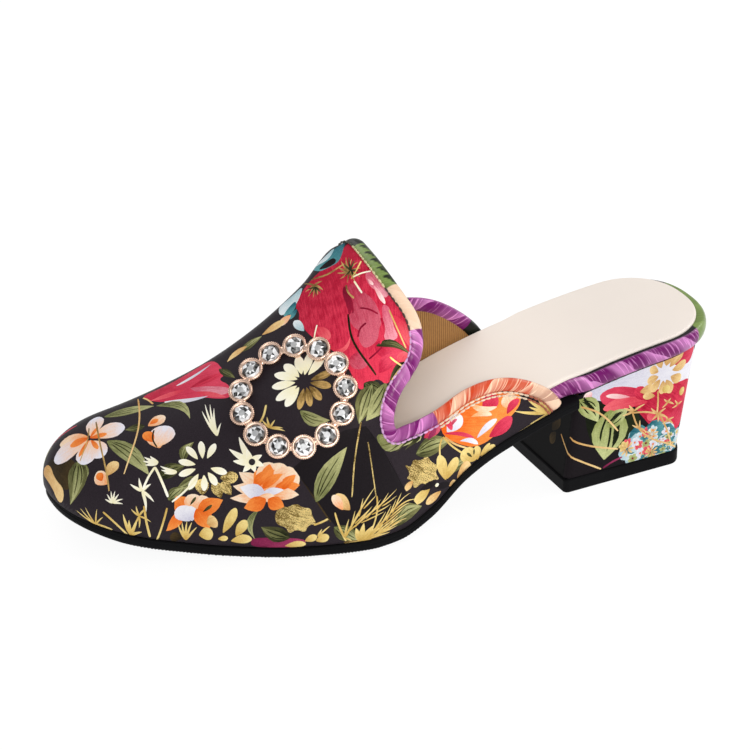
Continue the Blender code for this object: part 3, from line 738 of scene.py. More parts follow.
TOE_BLADES = (
    (104, 417, 154, 406, 5.4, 0.03, "sage leaf"),
    (156, 406, 190, 419, 3.8, 0.22, "sage leaf"),
    (107, 441, 149, 475, 6.6, 0.04, "sage leaf"),
    (145, 426, 125, 430, 4.2, 0.00, "moss leaf"),
    (84, 463, 77, 488, 5.0, 0.10, "sage leaf"),
    (78, 461, 70, 505, 8.6, 0.06, "olive leaf"),
    (92, 437, 97, 417, 6.8, 0.00, "snow"),
    (93, 437, 125, 427, 8.8, 0.03, "snow"),
    (88, 437, 60, 444, 6.4, 0.02, "peach"),
    (88, 441, 54, 461, 9.2, 0.00, "snow"),
    (91, 441, 103, 457, 7.0, 0.00, "snow"),
    (91, 440, 84, 465, 9.0, 0.00, "snow"),
    (90, 438, 107, 434, 2.6, 0.00, "orange"),
    (89, 438, 70, 446, 4.0, 0.00, "orange"),
    (90, 438, 98, 427, 1.6, 0.00, "orange"),
    (89, 440, 79, 457, 2.0, 0.00, "orange"),
    (91, 440, 98, 449, 1.8, 0.00, "orange"),
    (148, 426, 165, 416, 5.2, 0.00, "peach"),
    (150, 424, 158, 419, 2.4, 0.00, "orange"),
    (160, 448, 153, 432, 6.6, 0.00, "peach"),
    (156, 447, 169, 426, 9.2, 0.05, "snow"),
    (153, 442, 145, 432, 4.2, 0.00, "orange"),
    (108, 484, 97, 472, 5.2, 0.10, "peach"),
    (102, 481, 98, 473, 3.0, 0.00, "orange"),
    (106, 476, 118, 462, 4.2, 0.05, "tan"),
)
VAMP_BLADES = (
    (183, 462, 194, 442, 3.8, 0.18, "olive leaf"),
    (159, 478, 185, 466, 5.2, 0.10, "moss leaf"),
    (197, 477, 177, 488, 4.6, 0.10, "olive leaf"),
    (168, 500, 184, 487, 5.0, 0.00, "olive leaf"),
    (300, 411, 330, 420, 4.6, -0.16, "sage leaf"),
    (290, 538, 261, 527, 6.6, 0.06, "moss leaf"),
    (259, 509, 255, 539, 2.4, -0.22, "sage leaf"),
    (268, 494, 230, 498, 4.2, 0.04, "peach point"),
    (268, 493, 233, 486, 5.2, 0.00, "peach point"),
    (268, 493, 239, 472, 6.4, 0.00, "peach point"),
    (268, 493, 255, 470, 6.2, 0.00, "orange point"),
    (268, 493, 269, 462, 9.0, 0.00, "peach"),
    (270, 491, 284, 464, 8.6, 0.00, "peach"),
    (270, 491, 298, 472, 9.6, 0.00, "peach"),
    (272, 493, 300, 485, 5.2, 0.05, "orange point"),
    (272, 495, 299, 495, 4.6, 0.05, "peach point"),
    (266, 480, 270, 464, 4.2, 0.00, "orange point"),
    (253, 489, 275, 470, 4.0, 0.10, "orange point"),
    (262, 489, 283, 474, 3.4, 0.08, "orange point"),
    (282, 490, 296, 475, 3.6, 0.08, "orange point"),
    (266, 495, 240, 487, 5.6, 0.00, "white point"),
    (262, 494, 284, 490, 2.8, 0.04, "white point"),
    (258, 497, 275, 498, 3.4, 0.00, "peach"),
    (266, 499, 244, 508, 5.8, 0.05, "orange point"),
    (268, 499, 284, 507, 5.6, -0.05, "orange point"),
    (190, 514, 176, 496, 7.2, 0.00, "orange point"),
    (192, 514, 195, 494, 7.0, 0.00, "peach"),
    (193, 514, 209, 498, 7.0, 0.00, "peach"),
    (197, 514, 223, 500, 6.2, 0.05, "orange point"),
    (180, 510, 166, 531, 4.2, 0.10, "orange point"),
    (190, 521, 178, 507, 6.6, 0.00, "white"),
    (192, 521, 190, 506, 4.4, 0.00, "white"),
    (196, 509, 209, 529, 6.6, 0.05, "orange point"),
    (182, 538, 170, 536, 4.4, 0.00, "umber"),
    (203, 512, 212, 505, 1.2, 0.00, "moss"),
    (190, 505, 196, 497, 1.0, 0.00, "moss"),
    (220, 478, 238, 477, 4.2, 0.00, "speckle"),
    (203, 495, 201, 479, 5.0, 0.00, "speckle"),
    (221, 498, 214, 482, 4.0, 0.00, "speckle"),
    (231, 495, 222, 482, 3.8, 0.00, "speckle"),
    (223, 533, 236, 508, 3.6, 0.00, "gold"),
    (236, 536, 246, 520, 3.8, 0.00, "gold"),
    (199, 535, 213, 533, 5.6, 0.00, "gold"),
    (207, 524, 217, 520, 5.4, 0.00, "tan"),
    (218, 539, 228, 538, 2.4, 0.00, "gold"),
    (231, 541, 252, 539, 4.0, 0.06, "gold"),
    (285, 546, 306, 544, 3.0, 0.05, "gold"),
    (305, 541, 317, 536, 3.2, 0.00, "gold"),
    (316, 541, 329, 536, 3.8, 0.00, "gold"),
)
WING_BLADES = (
    (416, 454, 450, 441, 8.2, 0.06, "olive leaf"),
    (446, 474, 470, 458, 5.0, 0.05, "olive leaf"),
    (424, 438, 441, 424, 5.0, 0.00, "rose"),
    (428, 440, 436, 428, 2.4, 0.00, "magenta"),
    (447, 432, 462, 416, 7.4, 0.05, "white"),
    (441, 418, 452, 430, 2.4, 0.10, "cherry"),
    (452, 426, 457, 419, 1.6, 0.20, "rose"),
    (483, 410, 497, 395, 8.0, 0.05, "cherry"),
    (469, 401, 497, 407, 2.4, -0.16, "peach"),
    (471, 417, 492, 415, 2.2, 0.10, "peach"),
    (511, 409, 507, 394, 6.2, 0.00, "peach"),
    (507, 414, 519, 399, 3.6, 0.10, "cherry"),
    (489, 437, 512, 417, 6.4, -0.05, "cherry"),
    (477, 438, 497, 419, 3.2, 0.05, "white"),
    (444, 434, 474, 438, 1.6, 0.05, "cherry"),
    (460, 441, 478, 444, 2.0, 0.10, "white"),
    (446, 480, 439, 455, 4.2, 0.00, "gold"),
    (447, 479, 457, 457, 4.8, 0.00, "gold"),
    (430, 488, 414, 504, 4.8, 0.00, "gold"),
    (441, 491, 426, 504, 3.8, 0.00, "tan"),
    (413, 481, 405, 491, 3.0, 0.00, "tan"),
    (449, 486, 457, 482, 2.6, 0.00, "tan"),
    (476, 460, 462, 451, 6.2, 0.00, "gold"),
    (478, 460, 476, 446, 3.6, 0.00, "gold"),
    (480, 456, 490, 443, 2.2, 0.00, "gold"),
    (482, 458, 496, 447, 2.2, 0.00, "gold"),
    (457, 478, 471, 465, 5.0, 0.00, "tan"),
    (472, 457, 467, 453, 1.0, 0.00, "moss"),
    (474, 455, 474, 449, 0.8, 0.00, "moss"),
    (420, 490, 436, 482, 3.2, 0.00, "pitch"),
    (434, 487, 450, 484, 3.0, 0.00, "pitch"),
)
PANEL = ("pitch", (
    (293, 468), (318, 446), (345, 430), (366, 426), (408, 494), (419, 507), (352, 553), (331, 521)
))
PANEL_BLADES = (
    (316, 502, 347, 447, 6.8, 0.06, "sage leaf"),
    (350, 510, 336, 494, 5.0, 0.05, "tan"),
    (343, 510, 333, 495, 3.4, 0.00, "peach"),
    (334, 527, 360, 542, 6.4, 0.00, "olive leaf"),
    (394, 526, 422, 506, 8.2, 0.05, "olive leaf"),
)

# Foil points that fan out from one base: ink, width, base and tips.
UPPER_RAYS = (
    ("cream", 0.9, (217, 436), ((202, 411), (205, 404), (210, 404), (214, 408), (221, 423))),
    ("cream", 1.3, (158, 463), ((144, 457), (143, 461), (145, 465), (150, 456))),
    ("cream", 1.2, (177, 472), ((160, 466), (161, 470), (164, 473))),
    ("cream", 1.1, (142, 491), ((130, 484), (139, 478), (151, 484), (154, 502), (146, 512))),
    ("cream", 0.7, (113, 503), (
        (105, 499), (107, 494), (111, 491), (115, 491), (119, 494), (123, 499), (123, 504)
    )),
    ("gold", 0.7, (139, 516), ((131, 509), (136, 506), (146, 508), (151, 522), (133, 526), (139, 528))),
    ("gold", 1.3, (131, 535), ((123, 514), (129, 520), (137, 522), (142, 532))),
    ("gold", 0.6, (95, 526), ((76, 510), (80, 508), (87, 518), (85, 507), (97, 509), (103, 517))),
    ("cream", 2.4, (251, 462), (
        (229, 449), (233, 461), (239, 437), (247, 449), (262, 455), (264, 466), (255, 472), (243, 472)
    )),
    ("gold", 0.9, (186, 540), ((178, 524), (182, 522), (187, 521), (192, 522), (197, 527))),
    ("gold", 0.8, (318, 537), ((322, 529), (330, 526))),
    ("gold", 1.5, (551, 412), (
        (514, 411), (527, 399), (529, 407), (537, 397), (543, 402), (519, 432), (530, 424)
    )),
    ("bronze", 0.8, (349, 272), (
        (338, 267), (341, 261), (346, 257), (352, 259), (358, 262), (361, 268), (360, 277), (355, 282),
        (347, 283), (340, 279), (337, 273)
    )),
    ("moss", 0.8, (351, 270), ((343, 263), (349, 257), (355, 260), (359, 272), (354, 279), (344, 277))),
    ("bronze", 0.8, (314, 285), (
        (305, 292), (308, 297), (313, 298), (318, 295), (323, 290), (322, 281), (304, 284)
    )),
    ("moss", 0.8, (315, 287), ((309, 295), (316, 297), (321, 293), (307, 289))),
    ("gold", 0.8, (270, 428), ((262, 420), (267, 417), (275, 420), (283, 428), (285, 431))),
)
PANEL_RAYS = (
    ("moss", 0.9, (420, 436), ((380, 446), (388, 452), (396, 452), (405, 450))),
    ("gold", 0.8, (345, 538), ((335, 512), (349, 519), (352, 541), (361, 512))),
    ("gold", 2.4, (362, 544), ((356, 528), (364, 523), (374, 525), (384, 524))),
    ("gold", 1.0, (362, 544), ((394, 527), (402, 521), (345, 546), (390, 532))),
)
# Fronds: ink, width, rib from base to tip, barbs on a side and their reach.
PANEL_FRONDS = (
    ("gold", 0.7, (346, 537), (375, 487), 2, 9.0),
    ("gold", 0.7, (348, 532), (397, 489), 3, 10.0),
    ("gold", 0.8, (364, 541), (411, 493), 4, 11.0),
    ("gold", 0.7, (366, 541), (408, 513), 2, 8.0),
)

# Stems: from_x, from_y, by_x, by_y, to_x, to_y, width and ink.
UPPER_STEMS = (
    (138, 399, 138, 430, 124, 474, 0.6, "tan"),
    (96, 422, 101, 448, 109, 491, 0.6, "bronze"),
    (89, 428, 87, 442, 80, 461, 0.5, "bronze"),
    (155, 467, 162, 482, 168, 497, 0.9, "cream"),
    (155, 467, 149, 476, 143, 489, 0.8, "cream"),
    (144, 506, 146, 520, 150, 537, 0.8, "gold"),
    (197, 478, 184, 492, 172, 502, 0.7, "cream"),
    (167, 508, 163, 523, 157, 540, 0.7, "gold"),
    (103, 512, 114, 522, 127, 534, 0.8, "gold"),
    (92, 525, 102, 526, 112, 531, 0.8, "gold"),
    (154, 430, 153, 440, 157, 447, 0.6, "umber"),
    (153, 404, 148, 400, 143, 398, 0.7, "tan"),
    (348, 314, 352, 338, 376, 375, 0.8, "fir"),
    (389, 310, 397, 328, 406, 348, 0.5, "gold"),
    (311, 280, 328, 274, 344, 264, 0.7, "bronze"),
    (351, 279, 356, 271, 361, 261, 0.6, "gold"),
    (353, 277, 362, 273, 371, 271, 0.7, "cream"),
    (354, 281, 358, 287, 362, 293, 0.7, "cream"),
    (346, 285, 348, 292, 354, 298, 0.7, "bronze"),
    (314, 339, 315, 333, 317, 325, 0.6, "cream"),
    (343, 291, 351, 300, 353, 313, 0.8, "wine"),
    (366, 323, 360, 329, 358, 337, 0.8, "wine"),
    (360, 308, 368, 309, 378, 314, 0.6, "wine"),
    (369, 359, 376, 353, 382, 347, 0.6, "wine"),
    (381, 318, 384, 330, 380, 344, 0.8, "crimson"),
    (390, 357, 396, 362, 402, 366, 0.6, "gold"),
    (392, 380, 398, 372, 405, 366, 0.7, "gold"),
    (442, 438, 440, 446, 440, 456, 0.7, "gold"),
    (443, 437, 452, 446, 464, 454, 0.7, "gold"),
    (445, 437, 455, 444, 467, 448, 0.7, "tan"),
    (296, 470, 312, 494, 331, 522, 0.7, "umber"),
    (314, 525, 322, 522, 328, 519, 0.8, "gold"),
    (252, 431, 262, 419, 266, 405, 0.8, "gold"),
)
PANEL_STEMS = (
    (361, 422, 355, 458, 352, 497, 0.5, "speckle"),
    (368, 442, 372, 468, 376, 496, 0.4, "speckle"),
    (377, 496, 377, 512, 372, 530, 0.6, "gold"),
    (335, 513, 339, 526, 346, 541, 0.7, "gold"),
    (345, 551, 356, 548, 371, 539, 0.8, "bronze"),
)

# Flowers: kind, seen_x, seen_y, size and turn.
UPPER_MOTIFS = (
    ("daisy", 203, 466, 9.2, 60),
    ("ring foil", 305, 382, 10.4, 255),
    ("ring daisy", 303, 381, 11.6, 45),
    ("dot", 437, 485, 0.8, 0),
    ("hole", 252, 462, 1.2, 0),
)

HEEL_PATCHES = (
    ("white", (
        (582, 392), (594, 382), (632, 368), (664, 356), (700, 340), (698, 388), (660, 394), (604, 404)
    )),
    ("fir", (
        (588, 402), (604, 404), (632, 404), (642, 420), (634, 436), (616, 452), (598, 458), (584, 424)
    )),
    ("crimson", (
        (628, 392), (652, 392), (672, 383), (694, 376), (692, 402), (688, 420), (674, 433), (655, 431),
        (646, 421), (635, 408)
    )),
)
HEEL_BLADES = (
    (673, 364, 694, 347, 7.0, 0.00, "cherry"),
    (652, 393, 600, 396, 8.6, 0.05, "cherry"),
    (648, 402, 603, 409, 5.4, -0.05, "coral"),
    (630, 397, 606, 396, 2.0, 0.00, "blush"),
    (648, 400, 636, 388, 5.0, 0.00, "crimson"),
    (684, 400, 668, 424, 7.0, 0.05, "cherry"),
    (676, 424, 652, 424, 5.0, -0.05, "coral"),
    (655, 412, 648, 420, 4.0, 0.00, "coral"),
    (590, 400, 586, 392, 4.0, 0.00, "blush"),
    (578, 400, 598, 422, 8.0, 0.10, "green leaf"),
    (610, 410, 604, 460, 16.0, 0.04, "green leaf"),
    (609, 427, 628, 409, 7.0, 0.08, "green leaf"),
    (640, 392, 655, 387, 4.0, 0.00, "tan"),
    (655, 396, 643, 396, 3.0, 0.00, "tan"),
    (552, 430, 560, 416, 5.0, 0.00, "umber"),
    (556, 432, 550, 442, 4.0, 0.00, "umber"),
)
HEEL_STEMS = (
    (581, 407, 599, 413, 618, 431, 0.7, "tan"),
    (570, 437, 578, 443, 618, 449, 0.7, "tan"),
    (561, 434, 571, 457, 601, 469, 0.7, "tan"),
    (632, 411, 638, 427, 676, 447, 0.7, "tan"),
    (632, 413, 645, 412, 659, 414, 0.7, "tan"),
    (658, 391, 658, 402, 657, 414, 0.7, "tan"),
    (660, 415, 667, 430, 671, 445, 0.7, "tan"),
    (603, 468, 612, 462, 622, 457, 0.8, "magenta"),
)
HEEL_RAYS = (
    ("tan", 1.0, (634, 411), ((622, 416), (624, 408), (629, 405), (645, 404))),
    ("tan", 1.0, (658, 414), ((651, 408), (666, 408), (668, 418), (652, 420), (658, 422))),
    ("tan", 0.8, (668, 402), ((662, 408), (664, 399), (671, 398), (674, 404))),
    ("tan", 0.8, (678, 404), ((672, 408), (675, 400), (682, 401))),
    ("tan", 0.8, (668, 420), ((662, 424), (666, 416), (674, 417), (673, 424))),
    ("tan", 0.8, (640, 428), ((632, 425), (640, 420), (646, 432))),
)
HEEL_MOTIFS = (
    ("cluster", 648, 446, 12.5, -14),
    ("cluster", 672, 441, 6.0, 10),
    ("tan daisy", 664, 374, 9.0, 10),
    ("gold dot", 666, 389, 1.7, 0),
    ("gold dot", 682, 391, 1.7, 0),
    ("small daisy", 627, 449, 3.4, 0),
    ("small daisy", 651, 452, 3.0, 30),
    ("small daisy", 652, 434, 2.8, 10),
)

PATCH_ROUNDS, CORNER_CUT = 2, 0.25
BARB_FROM, BARB_SPAN, BARB_LEAN, BARB_SHRINK, BARB_WIDE = 0.12, 0.6, 17, 0.4, 0.8


class Print:
    """Inked shapes laid on a cloth in its flat coordinates, later ones on top."""

    def __init__(self, cloth, seed):
        self.cloth, self.chance, self.laid = cloth, np.random.default_rng(seed), []

    def lay(self, shapes, flat, spread, turn=0.0):
        c, s = way(turn)
        spread = spread @ np.array([[c, -s], [s, c]])
        back = np.linalg.inv(spread)
        for shape in shapes:
            ways = np.array([shape.ahead, leftward(shape.ahead)]) @ back
            points, root = flat + shape.points @ spread.T, flat + spread @ shape.root
            self.laid.append((points, root, ways, shape.length, shape.ink))

    def lay_patch(self, ink, corners, rounds=PATCH_ROUNDS):
        points = np.array([self.cloth.seen(corner) for corner in corners])
        for _ in range(rounds):
            run = np.roll(points, -1, axis=0) - points
            points = np.stack([points + CORNER_CUT * run, points + (1 - CORNER_CUT) * run], 1).reshape(-1, 2)
        run = points[len(points) // 2] - points[0]
        ahead = unit(run)
        ways = np.array([ahead, leftward(ahead)])
        self.laid.append((points, points[0], ways, float(np.linalg.norm(run)), ink))

    def lay_patches(self, rows):
        for ink, corners in rows:
            self.lay_patch(ink, corners)

    def local(self, *places):
        """Seen places in millimetres on the cloth, with the flat point and the spread that lay them."""
        flats = [self.cloth.seen(place) for place in places]
        middle = np.mean(flats, axis=0)
        spread = self.cloth.spread(middle)
        back = np.linalg.inv(spread)
        return [back @ (flat - middle) for flat in flats], middle, spread

    def lay_blades(self, rows):
        for from_x, from_y, to_x, to_y, width, arch, kind in rows:
            (start, end), middle, spread = self.local((from_x, from_y), (to_x, to_y))
            if kind in LEAVES:
                shapes = leaf(start, end, width, arch, LEAVES[kind])
            else:
                form = POINTED_PETAL if kind.endswith(POINT) else ROUND_PETAL
                ink = kind.removesuffix(POINT)
                shapes = [petal(start, *between(start, end), width, ink, *form, arch, PETAL_RUFFLE)]
            self.lay(shapes, middle, spread)

    def lay_rays(self, rows):
        for ink, width, base, tips in rows:
            (start, *ends), middle, spread = self.local(base, *tips)
            shapes = [petal(start, *between(start, end), width, ink, *FOIL_RAY, FOIL_ARCH) for end in ends]
            self.lay(shapes, middle, spread)

    def lay_fronds(self, rows):
        for ink, width, base, tip, barbs, reach in rows:
            (start, end), middle, spread = self.local(base, tip)
            degrees, length = between(start, end)
            shapes = [petal(start, degrees, length, width, ink, *FROND_BLADE, FOIL_ARCH)]
            for k in range(2 * barbs):
                u = BARB_FROM + BARB_SPAN * k / (2 * barbs)
                lean, size = BARB_LEAN * (-1) ** k, reach * (1 - BARB_SHRINK * u)
                root = start + u * (end - start)
                shapes.append(petal(root, degrees + lean, size, width * BARB_WIDE, ink, *FROND_BLADE))
            self.lay(shapes, middle, spread)

    def lay_stems(self, rows):
        for *places, width, ink in rows:
            line, middle, spread = self.local(places[0:2], places[2:4], places[4:6])
            self.lay([stroke(line, width, ink, STEM_END, STEM_END)], middle, spread)

    def lay_motifs(self, rows):
        for kind, seen_x, seen_y, size, turn in rows:
            flat = self.cloth.seen((seen_x, seen_y))
            self.lay(motif(kind, size, self.chance), flat, self.cloth.spread(flat), turn)

    def repeat(self, move, keep):
        """The print's next repeats, for the shapes that keep(points) holds for."""
        copies = []
        for points, root, ways, length, ink in self.laid:
            moved = points + move
            if keep(moved):
                copies.append((moved, root + move, ways, length, ink))
        return copies


GRID, STAGGER, WELD = 1.6, 0.25, 1e-4
LEAST_AREA, FAR_OUT = 0.01, 20


def signed_area(loop):
    """Twice a loop's area, positive where it runs anticlockwise."""
    x, y = loop.T
    return np.sum(x * np.roll(y, -1) - y * np.roll(x, -1))


def inlaid(border, laid):
    """Flat border with the print's outlines cut in: flat points, triangles and the shape on top of each."""
    low, high = border.min(axis=0), border.max(axis=0)
    verts, faces = [Vector(point) for point in border], [list(range(len(border)))]
    for points, *_ in laid:
        area = signed_area(points)
        if abs(area) < LEAST_AREA or (points < low - FAR_OUT).any() or (points > high + FAR_OUT).any():
            faces.append([])
            continue
        start = len(verts)
        order = points if area > 0 else points[::-1]
        verts.extend(Vector(point) for point in order)
        faces.append(list(range(start, start + len(points))))
    numbers = [k for k, face in enumerate(faces) if face]
    count = ((high - low) / GRID).astype(int)
    for i in range(count[0]):
        for j in range(count[1]):
            verts.append(Vector(low + GRID * np.array([i + 0.5 + STAGGER * (j % 2), j + 0.5])))
    made = delaunay_2d_cdt(verts, [], [faces[k] for k in numbers], 0, WELD, True)
    flat = np.array([tuple(v) for v in made[0]])
    kept = [(tuple(face), numbers[max(inside)]) for face, inside in zip(made[2], made[5]) if 0 in inside]
    triangles = np.array([face for face, _ in kept])
    used, index = np.unique(triangles, return_inverse=True)
    return flat[used], index.reshape(-1, 3), np.array([top for _, top in kept])


def ink_values(ink):
    """Colour at the root with foil, and colour at the tip with streaks."""
    root, tip, foil, streak = ink
    return np.r_[linear(root), foil], np.r_[linear(tip), streak]


INK_LAYERS = (
    ("ink_root", "FLOAT_COLOR", "color"),
    ("ink_tip", "FLOAT_COLOR", "color"),
    ("lay", "FLOAT_VECTOR", "vector"),
)


def give_ink(mesh, *layers):
    """Roots, tips and lays of the print, a value for each corner."""
    for (name, kind, key), values in zip(INK_LAYERS, layers):
        layer = mesh.attributes.new(name, kind, "CORNER")
        layer.data.foreach_set(key, np.asarray(values, np.float32).ravel())


def row_frame(points):
    return (np.asarray(points, float) - ORIGIN) * MM


def build(name, points, faces, materials, replaces=(), smooth=True, indices=None):
    """One mesh piece in the row's frame, riding on the shoe."""
    mesh = bpy.data.meshes.new(name)
    mesh.from_pydata(row_frame(points).tolist(), [], [tuple(int(k) for k in face) for face in faces])
    for material in materials:
        mesh.materials.append(material)
    if indices is not None:
        mesh.polygons.foreach_set("material_index", np.asarray(indices, np.int32))
    mesh.polygons.foreach_set("use_smooth", np.full(len(mesh.polygons), smooth))
    mesh.update()
    piece = bpy.data.objects.new(name, mesh)
    bpy.context.scene.collection.objects.link(piece)
    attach(piece, "root")
    if replaces:
        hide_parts(*replaces)
    return piece


def ring_faces(rows, columns):
    """Faces between rings of points."""
    faces = []
    for low in range(0, (rows - 1) * columns, columns):
        high = low + columns
        for j in range(columns):
            n = (j + 1) % columns
            faces.append((low + j, low + n, high + n, high + j))
    return faces


def tube_faces(rows, columns):
    """Faces between rings of points, with a face on each end."""
    last = (rows - 1) * columns
    ends = [tuple(range(columns))[::-1], tuple(range(last, last + columns))]
    return ring_faces(rows, columns) + ends


def sheet_faces(rows, columns, lap):
    """Faces between rings of points, with strips across each end from its first point, or first two."""
    faces = ring_faces(rows, columns)
    for start, turned in ((0, -1), ((rows - 1) * columns, 1)):
        for k in range((columns - lap) // 2):
            strip = (k, k + 1, (columns - k - 1 - lap) % columns, (columns - k - lap) % columns)
            face = tuple(start + j for j in dict.fromkeys(strip))
            faces.append(face[::turned])
    return faces


def circle(centre, side, ahead, radius, count, shift=0.0):
    """Points round a centre, from its side towards ahead."""
    turn = shift + 2 * math.pi * np.arange(count)[:, None] / count
    return centre + radius * (side * np.cos(turn) + ahead * np.sin(turn))


class Heap:
    """Points and faces of many small forms, gathered for one piece."""

    def __init__(self):
        self.points, self.faces = [], []

    def add(self, points, faces):
        start = len(self.points)
        self.points.extend(points)
        self.faces.extend(tuple(start + k for k in face) for face in faces)


# Sockets of a mix of colours: factor and two colours in, one colour out.
MIX_INPUTS, MIX_OUTPUT = (0, 6, 7), 2


class Nodes:
    """Short way to write a material's nodes."""

    def __init__(self, name):
        self.material = bpy.data.materials.new(name)
        self.material.use_nodes = True
        self.tree = self.material.node_tree
        self.shader = self.tree.nodes["Principled BSDF"]

    def add(self, kind, settings=(), **inputs):
        node = self.tree.nodes.new("ShaderNode" + kind)
        for key, value in settings:
            setattr(node, key, value)
        for key, value in inputs.items():
            self.set(node.inputs[key.replace("_", " ")], value)
        return node

    def set(self, socket, value):
        if isinstance(value, bpy.types.NodeSocket):
            self.tree.links.new(value, socket)
        else:
            socket.default_value = value

    def math(self, operation, a, b=0.0, clamp=False):
        node = self.add("Math", [("operation", operation), ("use_clamp", clamp)])
        self.set(node.inputs[0], a)
        self.set(node.inputs[1], b)
        return node.outputs[0]

    def plus(self, a, b):
        return self.math("ADD", a, b)

    def times(self, a, b):
        return self.math("MULTIPLY", a, b)

    def mix(self, factor, a, b, blend="MIX"):
        node = self.add("Mix", [("data_type", "RGBA"), ("blend_type", blend)])
        for socket, value in zip(MIX_INPUTS, (factor, a, b)):
            self.set(node.inputs[socket], value)
        return node.outputs[MIX_OUTPUT]

    def between(self, value, low, high, to_low=0.0, to_high=1.0):
        node = self.add("MapRange", Value=value, From_Min=low, From_Max=high, To_Min=to_low, To_Max=to_high)
        return node.outputs[0]

    def noise(self, vector, scale, detail=2.0, rough=0.5):
        node = self.add("TexNoise", Vector=vector, Scale=scale, Detail=detail, Roughness=rough)
        return node.outputs["Fac"]

    def swing(self, vector, scale, detail, rough):
        """Noise about zero."""
        return self.math("SUBTRACT", self.noise(vector, scale, detail, rough), 0.5)

    def attribute(self, name):
        return self.add("Attribute", [("attribute_name", name)]).outputs

    def place(self):
        return self.add("TexCoord").outputs["Object"]

    def bump(self, height, strength, distance):
        node = self.add("Bump", Strength=strength, Distance=distance, Height=height)
        self.set(self.shader.inputs["Normal"], node.outputs[0])

    def plain(self, **values):
        for key, value in values.items():
            self.set(self.shader.inputs[key.replace("_", " ")], value)


def colour(*screen):
    return (*linear(screen), 1.0)


WHITE, BLACK = (1.0, 1.0, 1.0, 1.0), (0.0, 0.0, 0.0, 1.0)
# Satins: streaks and clouds to the millimetre with their strengths, then petals to the millimetre that
# shade from dark to light, with the strengths of that and of fine lines.
SATINS = {
    "printed_satin": dict(
        rough=0.48, streaks=1.5, streaky=2.0, clouds=0.24, cloudy=1.6, detail=3.0, grain=0.22,
        coat=0.0, gloss=0.03, petals=0.0,
    ),
    "rolled_satin": dict(
        rough=0.32, streaks=1.3, streaky=0.2, clouds=0.12, cloudy=0.6, detail=1.0, grain=0.06,
        coat=0.35, gloss=0.12, petals=0.07, shaded=0.7, lined=0.5,
    ),
}
# Noises are scale, detail and roughness. Spans are the share of a noise that counts.
STREAK_LONG, STREAK_ROUGH, CLOUD_ROUGH = 0.16, 0.6, 0.55
PETAL_BEND, PETAL_POWER, LINE_SPAN = 0.8, 2.6, (0.07, 0.15)
SPECKLED_FROM, SPECKLES, SPECKLE_STRENGTH = 1.3, (2.6, 2.0, 0.6), 4.0
SHADE_SPAN, GRAIN_SPAN = (0.05, 0.95), (0.3, 0.7)
THREADS, THREAD_BUMP, BUMP_DEEP = (2600.0, 2.0, 0.7), 0.12, 0.0002
WEAR, WEAR_SPAN, WEAR_LEAVES = (900.0, 3.0, 0.7), (0.36, 0.60), (0.62, 1.0)
FOIL_GLOSS, THREAD_GLOSS, FULL_GLOSS, FOIL_ROUGH = 0.5, 0.3, 0.65, 0.30


def satin(name):
    """Printed satin: inks shade from root to tip in streaks and clouds, foil shines, threads show."""
    look = SimpleNamespace(**SATINS[name])
    n = Nodes(name)
    root, tip, lay = (n.attribute(layer) for layer, *_ in INK_LAYERS)
    shade, along, across = n.add("SeparateXYZ", Vector=lay["Vector"]).outputs
    drawn = n.add("CombineXYZ", X=n.times(along, STREAK_LONG), Y=n.times(across, look.streaks)).outputs[0]
    flat = n.add("CombineXYZ", X=along, Y=across).outputs[0]
    streak = n.swing(drawn, 1.0, look.detail, STREAK_ROUGH)
    cloud = n.swing(flat, look.clouds, look.detail, CLOUD_ROUGH)
    mottle = n.plus(n.times(streak, look.streaky), n.times(cloud, look.cloudy))
    if look.petals:
        bent = n.plus(n.times(along, look.petals), n.times(cloud, PETAL_BEND))
        ramp = n.math("POWER", n.math("FRACT", bent), PETAL_POWER)
        mottle = n.plus(mottle, n.times(ramp, look.shaded))
        mottle = n.plus(mottle, n.between(streak, *LINE_SPAN, 0.0, look.lined))
    else:
        speckled = n.math("GREATER_THAN", tip["Alpha"], SPECKLED_FROM)
        speckles = n.times(n.swing(flat, *SPECKLES), SPECKLE_STRENGTH)
        mottle = n.plus(mottle, n.times(speckles, speckled))
    shade = n.math("ADD", shade, n.times(mottle, tip["Alpha"]), True)
    ink = n.mix(n.between(shade, *SHADE_SPAN), root["Color"], tip["Color"])
    place, foil = n.place(), root["Alpha"]
    thread = n.noise(place, *THREADS)
    weave = n.mix(n.between(thread, *GRAIN_SPAN), BLACK, WHITE)
    worn = n.between(n.noise(place, *WEAR), *WEAR_SPAN, *WEAR_LEAVES)
    gloss = n.plus(n.times(foil, FOIL_GLOSS), n.times(thread, THREAD_GLOSS))
    n.plain(Base_Color=n.mix(look.grain, ink, weave, "OVERLAY"), Metallic=n.times(foil, worn))
    n.plain(Roughness=n.between(gloss, 0.0, FULL_GLOSS, look.rough, FOIL_ROUGH))
    n.plain(Specular_IOR_Level=look.gloss, Sheen_Weight=0.02, Sheen_Roughness=0.4)
    n.plain(Coat_Weight=look.coat, Coat_Roughness=0.25)
    n.bump(thread, THREAD_BUMP, BUMP_DEEP)
    return n.material


RIB_SCALE, RIB_BENT, RIB_BUMP, RIB_DEEP = 0.42, 0.6, 0.5, 0.0004
NAP, NAP_STRENGTH, LINING_SPAN = (900.0, 3.0, 0.6), 0.6, (0.2, 1.3)
LINING_DARK, LINING_LIGHT = (130, 86, 40), (186, 138, 78)


